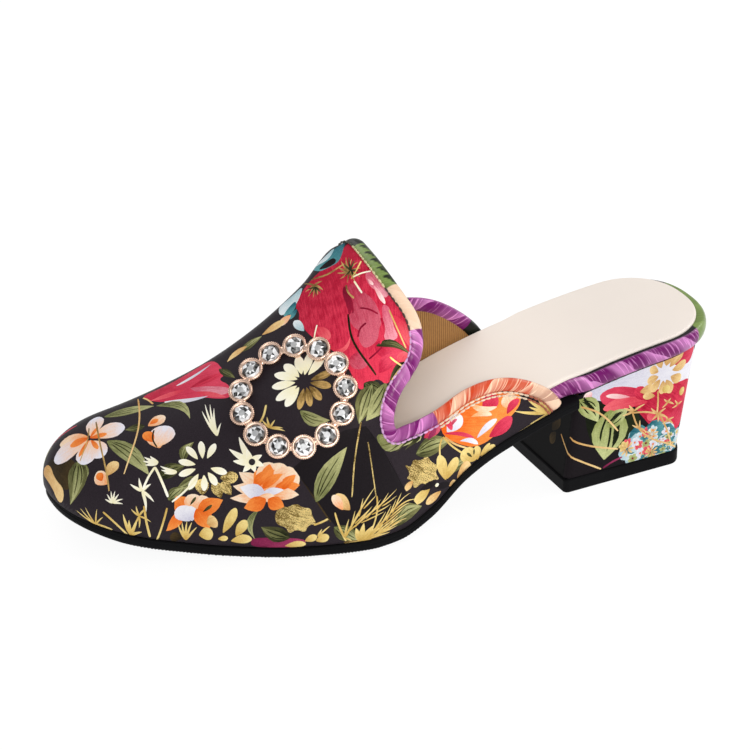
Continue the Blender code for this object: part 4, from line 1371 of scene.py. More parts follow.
def ribbed_lining():
    n = Nodes("lining")
    rib = n.add("TexWave", [("bands_direction", "Z")], Scale=RIB_SCALE, Distortion=RIB_BENT, Detail=1.0)
    n.set(rib.inputs["Vector"], n.attribute("lay")["Vector"])
    shade = n.plus(rib.outputs["Fac"], n.times(n.noise(n.place(), *NAP), NAP_STRENGTH))
    tone = n.mix(n.between(shade, *LINING_SPAN), colour(*LINING_DARK), colour(*LINING_LIGHT))
    n.plain(Base_Color=tone, Roughness=0.7, Sheen_Weight=0.2)
    n.bump(rib.outputs["Fac"], RIB_BUMP, RIB_DEEP)
    return n.material


# Plain materials: two tones as screen values with a noise between them, and a grain with its roughness.
GRAINED = {
    "sock": dict(
        dark=(238, 227, 217), light=(243, 233, 224), cloud=(28.0, 2.0, 0.5), grain=(1400.0, 3.0, 0.6),
        rough=(0.46, 0.58), metal=0.0, gloss=0.35, bump=0.12,
    ),
    "rubber": dict(
        dark=(13, 13, 14), light=(22, 22, 24), cloud=(60.0, 3.0, 0.6), grain=(1900.0, 3.0, 0.65),
        rough=(0.45, 0.62), metal=0.0, gloss=0.04, bump=0.18,
    ),
    "rose_gold_plate": dict(
        dark=(232, 192, 168), light=(248, 218, 198), cloud=(160.0, 2.0, 0.5), grain=(900.0, 2.0, 0.5),
        rough=(0.16, 0.30), metal=1.0, gloss=0.5, bump=0.0,
    ),
}


def grained(name):
    look = SimpleNamespace(**GRAINED[name])
    n = Nodes(name)
    place = n.place()
    grain = n.noise(place, *look.grain)
    n.plain(Base_Color=n.mix(n.noise(place, *look.cloud), colour(*look.dark), colour(*look.light)))
    n.plain(Roughness=n.between(grain, *GRAIN_SPAN, *look.rough))
    n.plain(Metallic=look.metal, Specular_IOR_Level=look.gloss)
    if look.bump:
        n.bump(grain, look.bump, BUMP_DEEP)
    return n.material


# Painted glints: white strewn over the stones' facets by a noise.
PAINTED_GLINTS, PAINTED_GLINT_SPAN, PAINTED_GLINT_SHARE = (700.0, 1.0, 0.5), (0.4, 0.7), 0.25


def cut_crystal():
    n = Nodes("cut_crystal")
    # painted glints mixed into the facets' painted reflections
    painted_glint = n.between(n.noise(n.place(), *PAINTED_GLINTS), *PAINTED_GLINT_SPAN, 0.0, PAINTED_GLINT_SHARE)
    n.plain(Base_Color=n.mix(painted_glint, n.attribute("ink_root")["Color"], WHITE))
    n.plain(Metallic=0.1, Roughness=0.08, Specular_IOR_Level=0.4, Coat_Weight=0.15, Coat_Roughness=0.02)
    return n.material


TWIST, TWIST_SHARE, TWIST_DARK, TWIST_BUMP = (1500.0, 2.0, 0.5), 0.4, (0.02, 0.01, 0.02, 1.0), 0.3


def thread_material():
    n = Nodes("thread")
    twist = n.noise(n.place(), *TWIST)
    shade = n.between(twist, *GRAIN_SPAN, 0.0, TWIST_SHARE)
    n.plain(Base_Color=n.mix(shade, n.attribute("ink_root")["Color"], TWIST_DARK), Roughness=0.5)
    n.bump(twist, TWIST_BUMP, BUMP_DEEP)
    return n.material


LAY_APART = 37.0


def inked(corners, top, laid):
    """Roots, tips and lays for the corners of triangles, by the shape on top of each triangle."""
    count = len(corners)
    roots, tips, lays = np.zeros((count, 3, 4)), np.zeros((count, 3, 4)), np.zeros((count, 3, 3))
    roots[:], tips[:] = ink_values(INKS["ground"])
    for number in np.unique(top[top > 0]):
        _, root, ways, length, ink = laid[number - 1]
        on = top == number
        roots[on], tips[on] = ink_values(INKS[ink])
        local = (corners[on] - root) @ ways.T
        along, across = local[..., 0], local[..., 1]
        lays[on] = np.stack([along / length, along + LAY_APART * number, across], -1)
    return roots.reshape(-1, 4), tips.reshape(-1, 4), lays.reshape(-1, 3)


def printed_piece(name, cloth, border, laid, materials, replaces, wall=0.0):
    """A printed sheet, closed with an inner face in its second material where it has a wall."""
    flat, triangles, top = inlaid(border, laid)
    points, normals = cloth.place(flat), cloth.normal(flat)
    first, second, third = (points[triangles[:, k]] for k in range(3))
    inward = (np.cross(second - first, third - first) * normals[triangles[:, 0]]).sum(-1) < 0
    triangles[inward] = triangles[inward, ::-1]
    layers = inked(flat[triangles], top, laid)
    count, size = len(triangles), len(points)
    faces = [tuple(face) for face in triangles]
    if wall:
        sides = np.concatenate([triangles[:, [0, 1]], triangles[:, [1, 2]], triangles[:, [2, 0]]])
        pairs = {tuple(pair) for pair in sides.tolist()}
        rim = [pair for pair in pairs if pair[::-1] not in pairs]
        points = np.concatenate([points, points - wall * normals])
        faces += [tuple(face[::-1] + size) for face in triangles]
        faces += [(end, start, start + size, end + size) for start, end in rim]
        corners = [k % size for face in faces[count:] for k in face]
        blank = np.zeros((len(corners), 4))
        inside = np.column_stack([np.zeros(len(corners)), flat[corners]])
        layers = [np.concatenate(pair) for pair in zip(layers, (blank, blank, inside))]
    indices = [0] * count + [1] * (len(faces) - count)
    piece = build(name, points, faces, materials, replaces, True, indices)
    give_ink(piece.data, *layers)


UPPER_UNDER_BAND = 1.6
BORDER_EVERY, BORDER_LEAST = 2, 0.02


def feather_line(cloth, side, start):
    """Flat points of the feather edge on one side, from the wing's end to the toe."""
    ahead = cloth.along > start
    return np.stack([side * cloth.girths[side][ahead], cloth.along[ahead]], -1)[::BORDER_EVERY]


def upper_border(cloth):
    """Flat outline of the sheet: its top under the binding, then the feather edge."""
    top = whole_topline(cloth, BAND_TALL - UPPER_UNDER_BAND)[::BORDER_EVERY]
    outer = feather_line(cloth, LATERAL, top[0, 1])
    inner = feather_line(cloth, MEDIAL, top[-1, 1])
    loop = np.concatenate([top[::-1], outer[:-1], inner[::-1]])
    step = np.linalg.norm(loop - np.roll(loop, 1, axis=0), axis=1)
    loop = loop[step > BORDER_LEAST]
    return loop if signed_area(loop) > 0 else loop[::-1]


# The print's repeats across and along, and how far over the crown the inner side's print starts.
REPEATS = ((-92.0, 34.0), (-92.0, -81.6), (-105.8, 142.8))
SEEN_TO = -11.0
UPPER_SEED, HEEL_SEED, STONE_SEED = 7, 11, 5


def dress_upper(cloth, satin_material, lining):
    art = Print(cloth, UPPER_SEED)
    art.lay_patches(UPPER_PATCHES)
    for rows in (TONGUE_BLADES, TOE_BLADES, VAMP_BLADES, WING_BLADES):
        art.lay_blades(rows)
    art.lay_rays(UPPER_RAYS)
    art.lay_motifs(UPPER_MOTIFS)
    art.lay_stems(UPPER_STEMS)
    art.lay_patch(*PANEL, 0)
    art.lay_blades(PANEL_BLADES)
    art.lay_stems(PANEL_STEMS)
    art.lay_rays(PANEL_RAYS)
    art.lay_fronds(PANEL_FRONDS)
    laid = []
    for move in REPEATS:
        laid += art.repeat(np.array(move), lambda points: points[:, 0].max() < SEEN_TO)
    laid += art.laid
    printed_piece("satin_upper", cloth, upper_border(cloth), laid, [satin_material, lining], ("upper",), WALL)


HEEL_COLUMNS_SIDE, HEEL_COLUMNS_BACK, HEEL_COLUMNS_FRONT, HEEL_CORNER_STEPS = 26, 44, 26, 7
HEEL_ROWS = 40


def heel_ring(level, outset=0.0):
    """Dense plan of the heel at a share of its height, from the middle of the breast round the outer side."""
    front, back, half_front, half_back, size, power = (
        float(through(HEEL, HEEL_COLUMNS, name, level)) for name in HEEL_COLUMNS[1:]
    )
    front, back = front + outset, back - outset
    half_front, half_back, size = half_front + outset, half_back + outset, size + outset
    bend = back + size
    corner_x, corner_y = front - HEEL_CORNER, half_front - HEEL_CORNER
    half = [(front, y) for y in np.linspace(0, corner_y, HEEL_COLUMNS_FRONT)]
    for t in np.linspace(0, math.pi / 2, HEEL_CORNER_STEPS + 1)[1:]:
        half.append((corner_x + HEEL_CORNER * math.cos(t), corner_y + HEEL_CORNER * math.sin(t)))
    for t in np.linspace(0, 1, HEEL_COLUMNS_SIDE + 1)[1:]:
        half.append((corner_x + t * (bend - corner_x), half_front + t * (half_back - half_front)))
    for t in np.linspace(0, math.pi / 2, HEEL_COLUMNS_BACK + 1)[1:]:
        half.append((bend - size * math.sin(t) ** (2 / power), half_back * math.cos(t) ** (2 / power)))
    half[-1] = (back, 0.0)
    other = [(x, -y) for x, y in half[-2::-1]]
    return np.array(half + other)


def heel_cloth():
    """The heel's cover: across runs round it from the breast's middle, along goes up."""
    low = LIFT_THICK + GAP
    levels = np.linspace(0, 1, HEEL_ROWS)
    places = []
    for level in levels:
        ring = heel_ring(level)
        top = feather(ring[:, 0]) - GAP
        places.append(np.column_stack([ring, low + level * (top - low)]))
    places = np.array(places)
    run = lengths(places[HEEL_ROWS // 2])
    tall = HEEL_RISE - low
    flat = np.stack(np.broadcast_arrays(run[None, :], (levels * tall)[:, None]), -1)

    def to_grid(point):
        columns = np.arange(len(run))
        return np.stack([point[..., 1] / tall * (HEEL_ROWS - 1), np.interp(point[..., 0], run, columns)], -1)

    cloth = Cloth(places, flat, to_grid, -1.0)
    cloth.size = (run[-1], tall)
    return cloth


HEEL_REPEAT, HEEL_SEEN, HEEL_BORDER_STEPS = 72.0, 0.47, 60


def rectangle(start, end, tall):
    return np.array([(start, 0.0), (end, 0.0), (end, tall), (start, tall)])


def dress_heel(cloth, satin_material):
    """Heel's cover: its breast painted near black as shade, and the print repeated round the back to the
    inner side.
    """
    base, art = Print(cloth, HEEL_SEED), Print(cloth, HEEL_SEED)
    wide, tall = cloth.size
    breast = HEEL[-1][HEEL_COLUMNS.index("half_front")] - HEEL_CORNER
    # Over the dark base, the breast at both ends is painted near black as shade.
    for ink, start, end in (("pitch", 0.0, wide), ("night", 0.0, breast), ("night", wide - breast, wide)):
        corners = rectangle(start, end, tall)
        base.lay([Shape(corners, corners[0], way(0), end - start, ink)], np.zeros(2), np.eye(2))
    art.lay_patches(HEEL_PATCHES)
    art.lay_blades(HEEL_BLADES)
    art.lay_motifs(HEEL_MOTIFS)
    art.lay_stems(HEEL_STEMS)
    art.lay_rays(HEEL_RAYS)
    laid = base.laid
    for times in (1, 2):
        move = np.array([HEEL_REPEAT * times, 0.0])
        laid += art.repeat(move, lambda points: wide * HEEL_SEEN < points[:, 0].mean() < wide - breast)
    laid += art.laid
    t = np.linspace(0, 1, HEEL_BORDER_STEPS)[:-1, None]
    corners = rectangle(0.0, wide, tall)
    border = [start + (end - start) * t for start, end in zip(corners, np.roll(corners, -1, axis=0))]
    printed_piece("heel_cover", cloth, np.concatenate(border), laid, [satin_material], ("heel_block",))


# Binding's colours from the outer wing's end over the tongue, and the pixels where each ends.
BINDING_ZONES = ("tail", "ember", "violet", "nude", "leafy", "pine", "violet", "pine")
BINDING_ENDS = ((530, 387), (430, 411), (422, 327), (394, 286), (364, 243), (408, 299), (470, 320))
WING_ZONES = ("tail", "ember")
BAND_INKS = {
    "tail": ((132, 34, 24), (242, 206, 176), 0.0, 1.0),
    "ember": ((196, 62, 26), (244, 210, 178), 0.0, 1.0),
    "violet": ((110, 6, 98), (226, 146, 212), 0.0, 1.0),
    "nude": ((222, 184, 152), (242, 216, 192), 0.0, 0.3),
    "leafy": ((20, 26, 14), (126, 150, 78), 0.0, 0.35),
    "pine": ((14, 18, 14), (62, 78, 40), 0.0, 0.5),
    # dark: the far side's print, and also the painted shadow line by the sock
    "dark": ((20, 16, 20), (34, 28, 34), 0.0, 0.3),
}
BAND_SHADE = {"tail": 0.5, "nude": 0.4, "leafy": 0.75, "dark": 0.4}
BAND_SHADE_USUAL = 0.05
BAND_SLANT, BAND_ALONG, BAND_ACROSS = 1.1, 0.8, 0.4
SCALLOP, SCALLOP_FROM, SCALLOP_DEEP = 5.2, 1.5, 2.2


def zones_along(line, zones, seen_ends):
    """Zone of each place along a line, from the pixels where the zones end."""
    at, start = pixels(line), 0
    names = np.full(len(line), zones[0], object)
    for zone, pixel in zip(zones[1:], seen_ends):
        start += int(np.linalg.norm(at[start:] - np.array(pixel), axis=1).argmin())
        names[start:] = zone
    return names


def band_lay(name, run, around):
    """Shade and pattern place of a point on a band: leaves are scalloped dark on their free edge."""
    shade = BAND_SHADE.get(name, BAND_SHADE_USUAL)
    if name == "leafy" and around < SCALLOP_FROM + SCALLOP_DEEP * (run / SCALLOP % 1):
        shade = 0.0
    return shade, run - around * BAND_SLANT, run * BAND_ALONG - around * BAND_ACROSS


def give_band(piece, faces, columns, point_of):
    """Inks of a band, where point_of(row, column) gives a point's zone, run and place around."""
    values = {name: ink_values(ink) for name, ink in BAND_INKS.items()}
    roots, tips, lays = [], [], []
    for k in (k for face in faces for k in face):
        name, run, around = point_of(*divmod(k, columns))
        root, tip = values[name]
        roots.append(root)
        tips.append(tip)
        lays.append(band_lay(name, run, around))
    give_ink(piece.data, roots, tips, lays)


def smooth_run(values, width):
    """Running mean along the first axis."""
    kernel = np.ones(width) / width
    padded = np.concatenate([values[:1].repeat(width // 2, 0), values, values[-1:].repeat(width // 2, 0)])
    return np.stack([np.convolve(padded[:, k], kernel, "valid") for k in range(values.shape[1])], -1)


BINDING_SIDES, BINDING_FULL = 20, 0.25
EDGE_PROBE, EDGE_SMOOTH = 2.0, 9
SEAM_UNDER, SEAM_DEEP, PIPING_APART = 0.2, 0.3, 1.3
STITCH_PITCH, PUCKER_DEEP = 2.3, 0.16


def binding_frame(cloth):
    """Places, outward normals and the way beyond the edge, along the upper's edge under the binding."""
    rim = whole_topline(cloth, BAND_TALL + GAP)
    places, normals = cloth.place(rim), cloth.normal(rim)
    inner = cloth.place(whole_topline(cloth, BAND_TALL + GAP + EDGE_PROBE))
    beyond = np.cross(unit(np.gradient(places, axis=0)), normals)
    beyond *= np.sign((beyond * (places - inner)).sum(-1, keepdims=True))
    beyond = unit(smooth_run(unit(beyond), EDGE_SMOOTH))
    normals = unit(normals - beyond * (normals * beyond).sum(-1, keepdims=True))
    return places, normals, beyond


def dress_binding(cloth, satin_material, thread):
    """Rolled strip, puckered at each stitch of the seam that closes it against the upper."""
    places, normals, beyond = binding_frame(cloth)
    run = lengths(places)
    centre = places + beyond * (GAP + BAND_TALL / 2) - normals * WALL / 2
    turns = np.linspace(0, 2 * math.pi, BINDING_SIDES + 1)[:-1]
    pull = 0.5 + 0.5 * np.cos(run * 2 * math.pi / STITCH_PITCH)
    points = np.zeros((len(places), BINDING_SIDES, 3))
    for j, t in enumerate(turns):
        near_seam = max(0.0, -math.cos(t)) * max(0.0, math.sin(t))
        beyond_by = (BAND_TALL / 2 + BINDING_FULL) * math.cos(t)
        out_by = BAND_THICK / 2 * math.sin(t) - 2 * PUCKER_DEEP * near_seam * pull
        points[:, j] = centre + beyond * beyond_by + normals * out_by[:, None]
    points[:, :, 2] = np.maximum(points[:, :, 2], feather(points[:, :, 0]))
    faces, rolled = tube_faces(len(places), BINDING_SIDES), points.reshape(-1, 3)
    piece = build("rolled_binding", rolled, faces, [satin_material], ("collar_binding",))
    names = zones_along(centre, BINDING_ZONES, BINDING_ENDS)
    around = turns * (BAND_TALL + BAND_THICK) / 4
    give_band(piece, faces, BINDING_SIDES, lambda i, j: (names[i], run[i], around[j]))
    seam = centre - beyond * (BAND_TALL / 2 - SEAM_UNDER) + normals * (BAND_THICK / 2 - SEAM_DEEP)
    edge_stitches("binding_stitches", seam, normals, beyond, names, run, thread)
    wing = np.isin(names, WING_ZONES)
    piping = (line[wing] for line in (seam - beyond * PIPING_APART, normals, beyond, names, run))
    edge_stitches("wing_stitches", *piping, thread)


STITCH_INKS = {
    "tail": (176, 96, 66),
    "ember": (248, 222, 194),
    "violet": (222, 172, 222),
    "nude": (66, 48, 40),
    "leafy": (222, 212, 160),
    "pine": (70, 70, 56),
}
STITCH_RADIUS, STITCH_THIN, STITCH_ARCH, STITCH_GAP = 0.42, 0.45, 0.2, 0.04
STITCH_SIDES, STITCH_STATIONS = 6, 5


def edge_stitches(name, seam, normals, beyond, zones, run, thread):
    """Row of stitches along a seam."""
    heap, inks = Heap(), []
    faces = tube_faces(STITCH_STATIONS, STITCH_SIDES)
    swell = np.sin(np.linspace(0, math.pi, STITCH_STATIONS)).clip(0)
    fat = STITCH_RADIUS * (STITCH_THIN + (1 - STITCH_THIN) * np.sqrt(swell))
    for k in range(int((run[-1] - run[0]) / STITCH_PITCH)):
        span = run[0] + STITCH_PITCH * np.linspace(k + STITCH_GAP, k + 1 - STITCH_GAP, STITCH_STATIONS)
        at, out, side = (follow(span, run, line) for line in (seam, normals, beyond))
        at = at + out * STITCH_ARCH * swell[:, None]
        rings = [circle(at[i], side[i], out[i], fat[i], STITCH_SIDES) for i in range(STITCH_STATIONS)]
        heap.add(np.concatenate(rings), faces)
        zone = zones[int(np.searchsorted(run, span[STITCH_STATIONS // 2]))]
        inks += [np.r_[linear(STITCH_INKS[zone]), 0.0]] * sum(len(face) for face in faces)
    piece = build(name, heap.points, heap.faces, [thread])
    give_ink(piece.data, inks, inks, np.zeros((len(inks), 3)))


SOLE_STEPS = 260


def slab(inset, rim, low, thick):
    """Points and faces of a sheet that follows the sole, its rim in rows of inset and rise."""
    points = []
    for more, rise in rim:
        loop = outline(lambda x, more=more: inset(x) + more, SOLE_STEPS)
        points.append(np.column_stack([loop, low(loop[:, 0]) + rise * thick(loop[:, 0])]))
    return np.concatenate(points), sheet_faces(len(rim), len(points[0]), 0)


FOOTBED_ROUND, FOOTBED_UNDERCUT, FOOTBED_ROWS = 2.1, 0.2, 13
# Top rows of the violet wrap, by the sock, are painted dark as the shadow line in the gap.
SOCK_SHADOW_ROWS = 2
# Footbed's wrap from the outer side round the seat, and the pixels where each colour ends.
WRAP_ZONES, WRAP_ENDS = ("violet", "leafy", "dark"), ((698, 336), (668, 281))


def footbed_rim():
    """Inset and rise of the footbed's half round edge."""
    rows = []
    for t in np.linspace(-math.pi / 2, math.pi / 2, FOOTBED_ROWS):
        rise = 0.5 + 0.5 * math.sin(t)
        rows.append((FOOTBED_ROUND * (1 - math.cos(t)) + FOOTBED_UNDERCUT * (1 - rise), rise))
    return rows


def dress_footbed(satin_material):
    """Wrapped footbed: violet on the outer side, green round the back, dark beyond, with a painted shadow
    line along the violet by the sock.
    """
    points, faces = slab(footbed_inset, footbed_rim(), feather, footbed_thick)
    piece = build("wrapped_footbed", points, faces, [satin_material], ("footbed",))
    count = len(points) // FOOTBED_ROWS
    middle = points[count * (FOOTBED_ROWS // 2) :][:count]
    run, zone = lengths(middle), zones_along(middle, WRAP_ZONES, WRAP_ENDS)

    def point_of(i, j):
        # painted shadow line on the violet wrap's top rows by the sock
        in_sock_shadow = i >= FOOTBED_ROWS - SOCK_SHADOW_ROWS and zone[j] == "violet"
        return "dark" if in_sock_shadow else zone[j], run[j], 2 * FOOTBED_ROWS - i

    give_band(piece, faces, count, point_of)


# Sock's rim: inset and share of its thickness.
SOCK_RIM = ((0.0, 0.0), (0.0, 0.45), (0.15, 0.75), (0.5, 0.95), (1.1, 1.0))
SOCK_SEAT = 0.1


def dress_insole(leather):
    points, faces = slab(
        insole_inset,
        SOCK_RIM,
        lambda x: footbed_top(x) + SOCK_SEAT,
        lambda x: np.full(x.shape, INSOLE_THICK + GAP - SOCK_SEAT),
    )
    build("sock_lining", points, faces, [leather], ("insole",))


SERRATION, SERRATION_DEEP, SERRATION_FOOT = 1.25, 0.5, 0.8
SERRATED_FROM, SERRATED_TO, SERRATED_FADE, SERRATED_BELOW = 128.0, 226.0, 8, 0.2
OUTSOLE_STATIONS, OUTSOLE_STEPS = 420, 400
# Outsole's rim: inset and share of its thickness.
OUTSOLE_RIM = (
    (1.1, 0.0),
    (0.35, 0.10),
    (0.0, 0.28),
    (0.0, 0.60),
    (0.18, 0.66),
    (0.18, 0.74),
    (0.0, 0.80),
    (0.12, 0.93),
    (0.6, 1.0),
)


def serrated(loop):
    """Share of the serration's depth round the sole."""
    x = loop[:, 0]
    tooth = np.abs((lengths(loop) / SERRATION) % 1 - 0.5) * 2
    start = ease(x, SERRATED_FROM, SERRATED_FROM + SERRATED_FADE)
    return tooth * start * (1 - ease(x, SERRATED_TO, SERRATED_TO + SERRATED_FADE))


def dress_outsole(material):
    """Rubber sole with a fine groove round its side and a serrated lower edge at the ball."""
    turn = np.linspace(0, math.pi / 2, OUTSOLE_STATIONS)
    stations = OUTSOLE_END + (LENGTH - OUTSOLE_END) * np.sin(turn)
    points = []
    for inset, rise in OUTSOLE_RIM:
        wide = outline(lambda x, inset=inset: inset - outsole_proud(x), OUTSOLE_STEPS)
        lateral = wide[OUTSOLE_STEPS::-1]
        medial = np.concatenate([wide[OUTSOLE_STEPS:], wide[:1]])
        x = np.minimum(stations, lateral[:, 0].max())
        near, far = (np.stack([x, np.interp(x, *side.T)], -1) for side in (lateral, medial))
        loop = np.concatenate([near, far[::-1]])
        height = underside(loop[:, 0]) + rise * OUTSOLE_THICK
        if rise < SERRATED_BELOW:
            height = height + SERRATION_DEEP * serrated(loop) * (1 if rise else SERRATION_FOOT)
        points.append(np.column_stack([loop, height]))
    faces = sheet_faces(len(OUTSOLE_RIM), len(points[0]), 1)
    build("rubber_outsole", np.concatenate(points), faces, [material], ("outsole",), False)


# Lift's rim: how far it is drawn in, and height.
LIFT_RIM = (
    (0.6, 0.0),
    (0.15, 0.15),
    (0.0, 0.6),
    (0.0, LIFT_THICK - 0.4),
    (0.3, LIFT_THICK),
    (1.2, LIFT_THICK + GAP),
)


def dress_lift(material):
    rings = []
    for drawn_in, height in LIFT_RIM:
        ring = heel_ring(0.0, LIFT_PROUD - drawn_in)[:-1]
        rings.append(np.column_stack([ring, np.full(len(ring), height)]))
    faces = tube_faces(len(LIFT_RIM), len(rings[0]))
    build("rubber_lift", np.concatenate(rings), faces, [material], ("top_lift",), False)


def ring_place(cloth, turn, radius):
    """Flat point of the upper that lies on the ornament's ring, seen along the way the ring faces."""
    facing = unit(RING_FACING)
    right = unit(np.cross((0.0, 0.0, 1.0), facing))
    plane = np.stack([right, np.cross(facing, right)])
    girth = np.interp(RING_ALONG, cloth.x, cloth.girths[LATERAL])
    place = np.array([(1 - RING_SHARE) * girth, np.interp(RING_ALONG, cloth.x, cloth.along)])
    wanted = plane @ cloth.place(place) + radius * np.array([math.sin(turn), math.cos(turn)])
    for _ in range(RING_ROUNDS):
        here = plane @ cloth.place(place)
        ends = [plane @ cloth.place(place + step) - here for step in RING_PROBE * np.eye(2)]
        place = place + np.linalg.solve(np.stack(ends, -1) / RING_PROBE, wanted - here)
    return place


# Bezel: radius and height above the plate's foot, from the skirt over the rim into the seat.
CUP_PROFILE = (
    (3.5, -0.9),
    (4.0, 0.0),
    (4.2, 1.2),
    (4.1, 1.9),
    (4.35, 2.35),
    (4.2, 2.75),
    (3.85, 2.95),
    (3.45, 2.8),
    (3.3, 2.3),
    (0.4, 2.2),
)
CUP_SIDES = 40
BEADS, BEAD_AT, BEAD_RADIUS, BEAD_LEVEL = 36, 4.25, 0.27, 2.45
BEAD_RINGS, BEAD_SIDES = 4, 7
STONE_RADIUS, STONE_SEAT, STONE_TALL, STONE_SIDES = 3.35, 2.4, 0.95, 8
# Facets of a round brilliant's crown: rings of points as radius share, height and turn share.
STONE_RINGS = ((1.0, 0.0, 0.0), (0.74, 0.62, 0.5), (0.36, STONE_TALL, 0.0))
# Painted reflections: the table's grey and the facets' bright and dark tones, picked by chance.
TABLE_PAINTED_REFLECTION, STONE_TINT = 0.42, np.array([1.0, 1.01, 1.03, 0.0])
PAINTED_FACET_REFLECTIONS = (1.0, 0.01, 0.85, 0.005, 1.0, 0.02, 0.6, 0.005, 0.01)
# Links: share of the way between bezels and half width.
LINK_STATIONS = ((0.40, 2.0), (0.47, 1.5), (0.53, 1.5), (0.60, 2.0))
LINK_SIDES, LINK_LEVEL, LINK_HALF_TALL = 10, 1.3, 0.9


def ball(centre, radius, seat):
    points, faces = [centre + seat.up * radius], []
    for i in range(1, BEAD_RINGS):
        tilt = math.pi * i / BEAD_RINGS
        middle = centre + seat.up * radius * math.cos(tilt)
        points.extend(circle(middle, seat.side, seat.ahead, radius * math.sin(tilt), BEAD_SIDES))
    points.append(centre - seat.up * radius)
    last = len(points) - 1
    low = last - BEAD_SIDES
    for j in range(BEAD_SIDES):
        n = (j + 1) % BEAD_SIDES
        faces += [(0, 1 + j, 1 + n), (low + n, low + j, last)]
        for a in range(1, low, BEAD_SIDES):
            b = a + BEAD_SIDES
            faces.append((a + j, b + j, b + n, a + n))
    return points, faces


def ring_seat(cloth, number):
    """Foot of a bezel, and its up, side and ahead ways."""
    flat = ring_place(cloth, 2 * math.pi * number / STONES, RING_RADIUS)
    up = unit((1 - RING_LEVEL) * cloth.normal(flat) + RING_LEVEL * unit(RING_FACING))
    side = unit(np.cross(up, (0.0, 0.0, 1.0)))
    foot = cloth.place(flat) + up * PLATE_STANDS
    return SimpleNamespace(foot=foot, up=up, side=side, ahead=np.cross(up, side))


def seat_circle(seat, level, radius, count, shift=0.0):
    return circle(seat.foot + seat.up * level, seat.side, seat.ahead, radius, count, shift)


def add_bezel(heap, seat):
    cup = [seat_circle(seat, height, radius, CUP_SIDES) for radius, height in CUP_PROFILE]
    heap.add(np.concatenate(cup), tube_faces(len(CUP_PROFILE), CUP_SIDES))
    for centre in seat_circle(seat, BEAD_LEVEL, BEAD_AT, BEADS):
        heap.add(*ball(centre, BEAD_RADIUS, seat))


def add_link(heap, here, there):
    run = there.foot - here.foot
    up = unit(here.up + there.up)
    side = unit(np.cross(up, unit(run)))
    bar = []
    for share, half in LINK_STATIONS:
        centre = here.foot + run * share + up * LINK_LEVEL
        bar.append(circle(centre, side * half, up * LINK_HALF_TALL, 1.0, LINK_SIDES))
    heap.add(np.concatenate(bar), tube_faces(len(LINK_STATIONS), LINK_SIDES))


def add_stone(heap, inks, seat, chance):
    """A cut stone: its facets take painted bright and dark reflections by chance, its table one painted
    reflection tone.
    """
    tilt, n = chance.uniform(0, math.pi), STONE_SIDES
    rings = []
    for share, height, shift in STONE_RINGS:
        turn = tilt + 2 * math.pi * shift / n
        rings.append(seat_circle(seat, STONE_SEAT + height, share * STONE_RADIUS, n, turn))
    middle = len(STONE_RINGS) * n
    faces = []
    for k in range(n):
        m = (k + 1) % n
        faces += [(k, m, n + k), (m, n + m, n + k), (n + k, n + m, 2 * n + m)]
        faces += [(n + k, 2 * n + m, 2 * n + k), (2 * n + k, 2 * n + m, middle)]
    for face in faces:
        # painted reflection, one tone for each facet
        tone = TABLE_PAINTED_REFLECTION if middle in face else PAINTED_FACET_REFLECTIONS[int(chance.integers(len(PAINTED_FACET_REFLECTIONS)))]
        inks += [tone * STONE_TINT] * len(face)
    heap.add([*np.concatenate(rings), seat.foot + seat.up * (STONE_SEAT + STONE_TALL)], faces)


def dress_ring(cloth, metal, crystal):
    """Bezels with beaded rims, short links between them and a faceted stone in each."""
    ring, gems, inks = Heap(), Heap(), []
    chance = np.random.default_rng(STONE_SEED)
    seats = [ring_seat(cloth, number) for number in range(STONES)]
    for number, seat in enumerate(seats):
        add_bezel(ring, seat)
        add_stone(gems, inks, seat, chance)
        add_link(ring, seat, seats[(number + 1) % STONES])
    build("bezel_ring", ring.points, ring.faces, [metal], ("ornament_frame",))
    stones = [f"stone_{k + 1:02d}" for k in range(STONES)]
    piece = build("cut_stones", gems.points, gems.faces, [crystal], stones, False)
    give_ink(piece.data, inks, inks, np.zeros((len(inks), 3)))


def stand(name, data, place, ahead):
    """A lamp or camera at a place in the row's frame, looking ahead."""
    holder = bpy.data.objects.new(name, data)
    holder.location, holder.rotation_mode = place, "QUATERNION"
    holder.rotation_quaternion = Vector(ahead).to_track_quat("-Z", "Y")
    bpy.context.scene.collection.objects.link(holder)
    return holder


# Lamps: name, place, size, power and aim, in the row's metres.
LAMPS = (
    ("key", (0.42, 0.98, 0.78), 0.7, 5.0, (0.0, 0.0, 0.04)),
    ("fill", (-0.8, 0.35, 1.0), 0.8, 3.5, (0.0, 0.0, 0.04)),
    ("back", (-1.1, 0.1, 0.5), 0.5, 3.5, (0.02, 0.0, 0.03)),
    ("rim", (0.2, -0.9, 0.9), 0.8, 3.2, (0.0, 0.0, 0.05)),
)
WORLD_LIGHT = 0.5
FLOOR_HALF, FLOOR_GLOW, FLOOR_CLOUD = 6.0, 0.93, 3.0
FLOOR_DARK, FLOOR_LIGHT = (0.10, 0.10, 0.10, 1.0), (0.11, 0.11, 0.11, 1.0)
# A soft spot from the camera's side reaches the sock inside the throat.
THROAT = np.array([104.0, -10.0, 34.0])
THROAT_POWER, THROAT_AWAY, THROAT_CONE = 34.0, 900.0, math.radians(5.0)
THROAT_SOFT, THROAT_COLOUR = 0.05, (1.0, 0.93, 0.84)


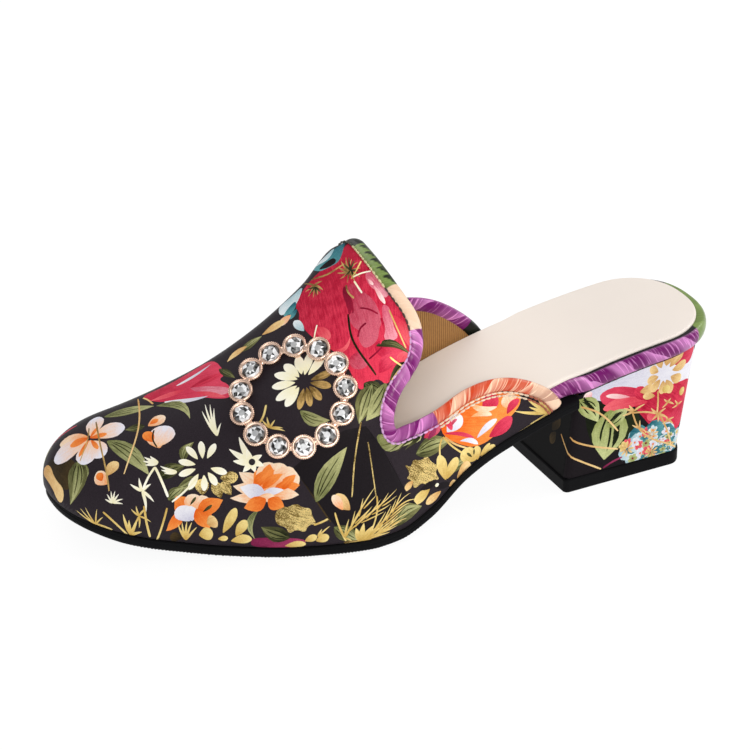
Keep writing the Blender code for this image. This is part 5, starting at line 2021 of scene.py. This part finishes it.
def make_lamps():
    for name, place, size, power, aim in LAMPS:
        lamp = bpy.data.lights.new(name, "AREA")
        lamp.energy, lamp.size = power, size
        stand(name, lamp, place, np.subtract(aim, place))
    spot = bpy.data.lights.new("throat", "SPOT")
    spot.energy, spot.spot_size, spot.spot_blend = THROAT_POWER, THROAT_CONE, 1.0
    spot.shadow_soft_size, spot.color = THROAT_SOFT, THROAT_COLOUR
    stand("throat", spot, row_frame(THROAT - THROAT_AWAY * CAMERA_AHEAD), CAMERA_AHEAD)


def make_studio():
    scene = bpy.context.scene
    scene.view_settings.view_transform = "Standard"
    world = bpy.data.worlds.new("studio")
    world.use_nodes = True
    world.node_tree.nodes["Background"].inputs["Color"].default_value = WHITE
    world.node_tree.nodes["Background"].inputs["Strength"].default_value = WORLD_LIGHT
    scene.world = world
    n = Nodes("pale_floor")
    n.plain(Base_Color=n.mix(n.noise(n.place(), FLOOR_CLOUD), FLOOR_DARK, FLOOR_LIGHT), Roughness=0.8)
    n.plain(Specular_IOR_Level=0.1, Emission_Color=WHITE, Emission_Strength=FLOOR_GLOW)
    mesh = bpy.data.meshes.new("floor")
    corners = [(x * FLOOR_HALF, y * FLOOR_HALF, 0) for x, y in ((-1, -1), (1, -1), (1, 1), (-1, 1))]
    mesh.from_pydata(corners, [], [(0, 1, 2, 3)])
    mesh.materials.append(n.material)
    floor = bpy.data.objects.new("floor", mesh)
    scene.collection.objects.link(floor)


def make_camera():
    lens = bpy.data.cameras.new("camera")
    lens.sensor_width, lens.lens = SENSOR, SENSOR * FOCUS / PICTURE
    bpy.context.scene.camera = stand("camera", lens, row_frame(CAMERA_PLACE), CAMERA_AHEAD)


def main():
    make_studio()
    make_lamps()
    make_camera()
    print_satin = satin("printed_satin")
    binding_satin = satin("rolled_satin")
    cloth = upper_cloth()
    dress_upper(cloth, print_satin, ribbed_lining())
    dress_binding(cloth, binding_satin, thread_material())
    dress_heel(heel_cloth(), print_satin)
    dress_footbed(binding_satin)
    dress_insole(grained("sock"))
    black = grained("rubber")
    dress_outsole(black)
    dress_lift(black)
    dress_ring(cloth, grained("rose_gold_plate"), cut_crystal())


main()
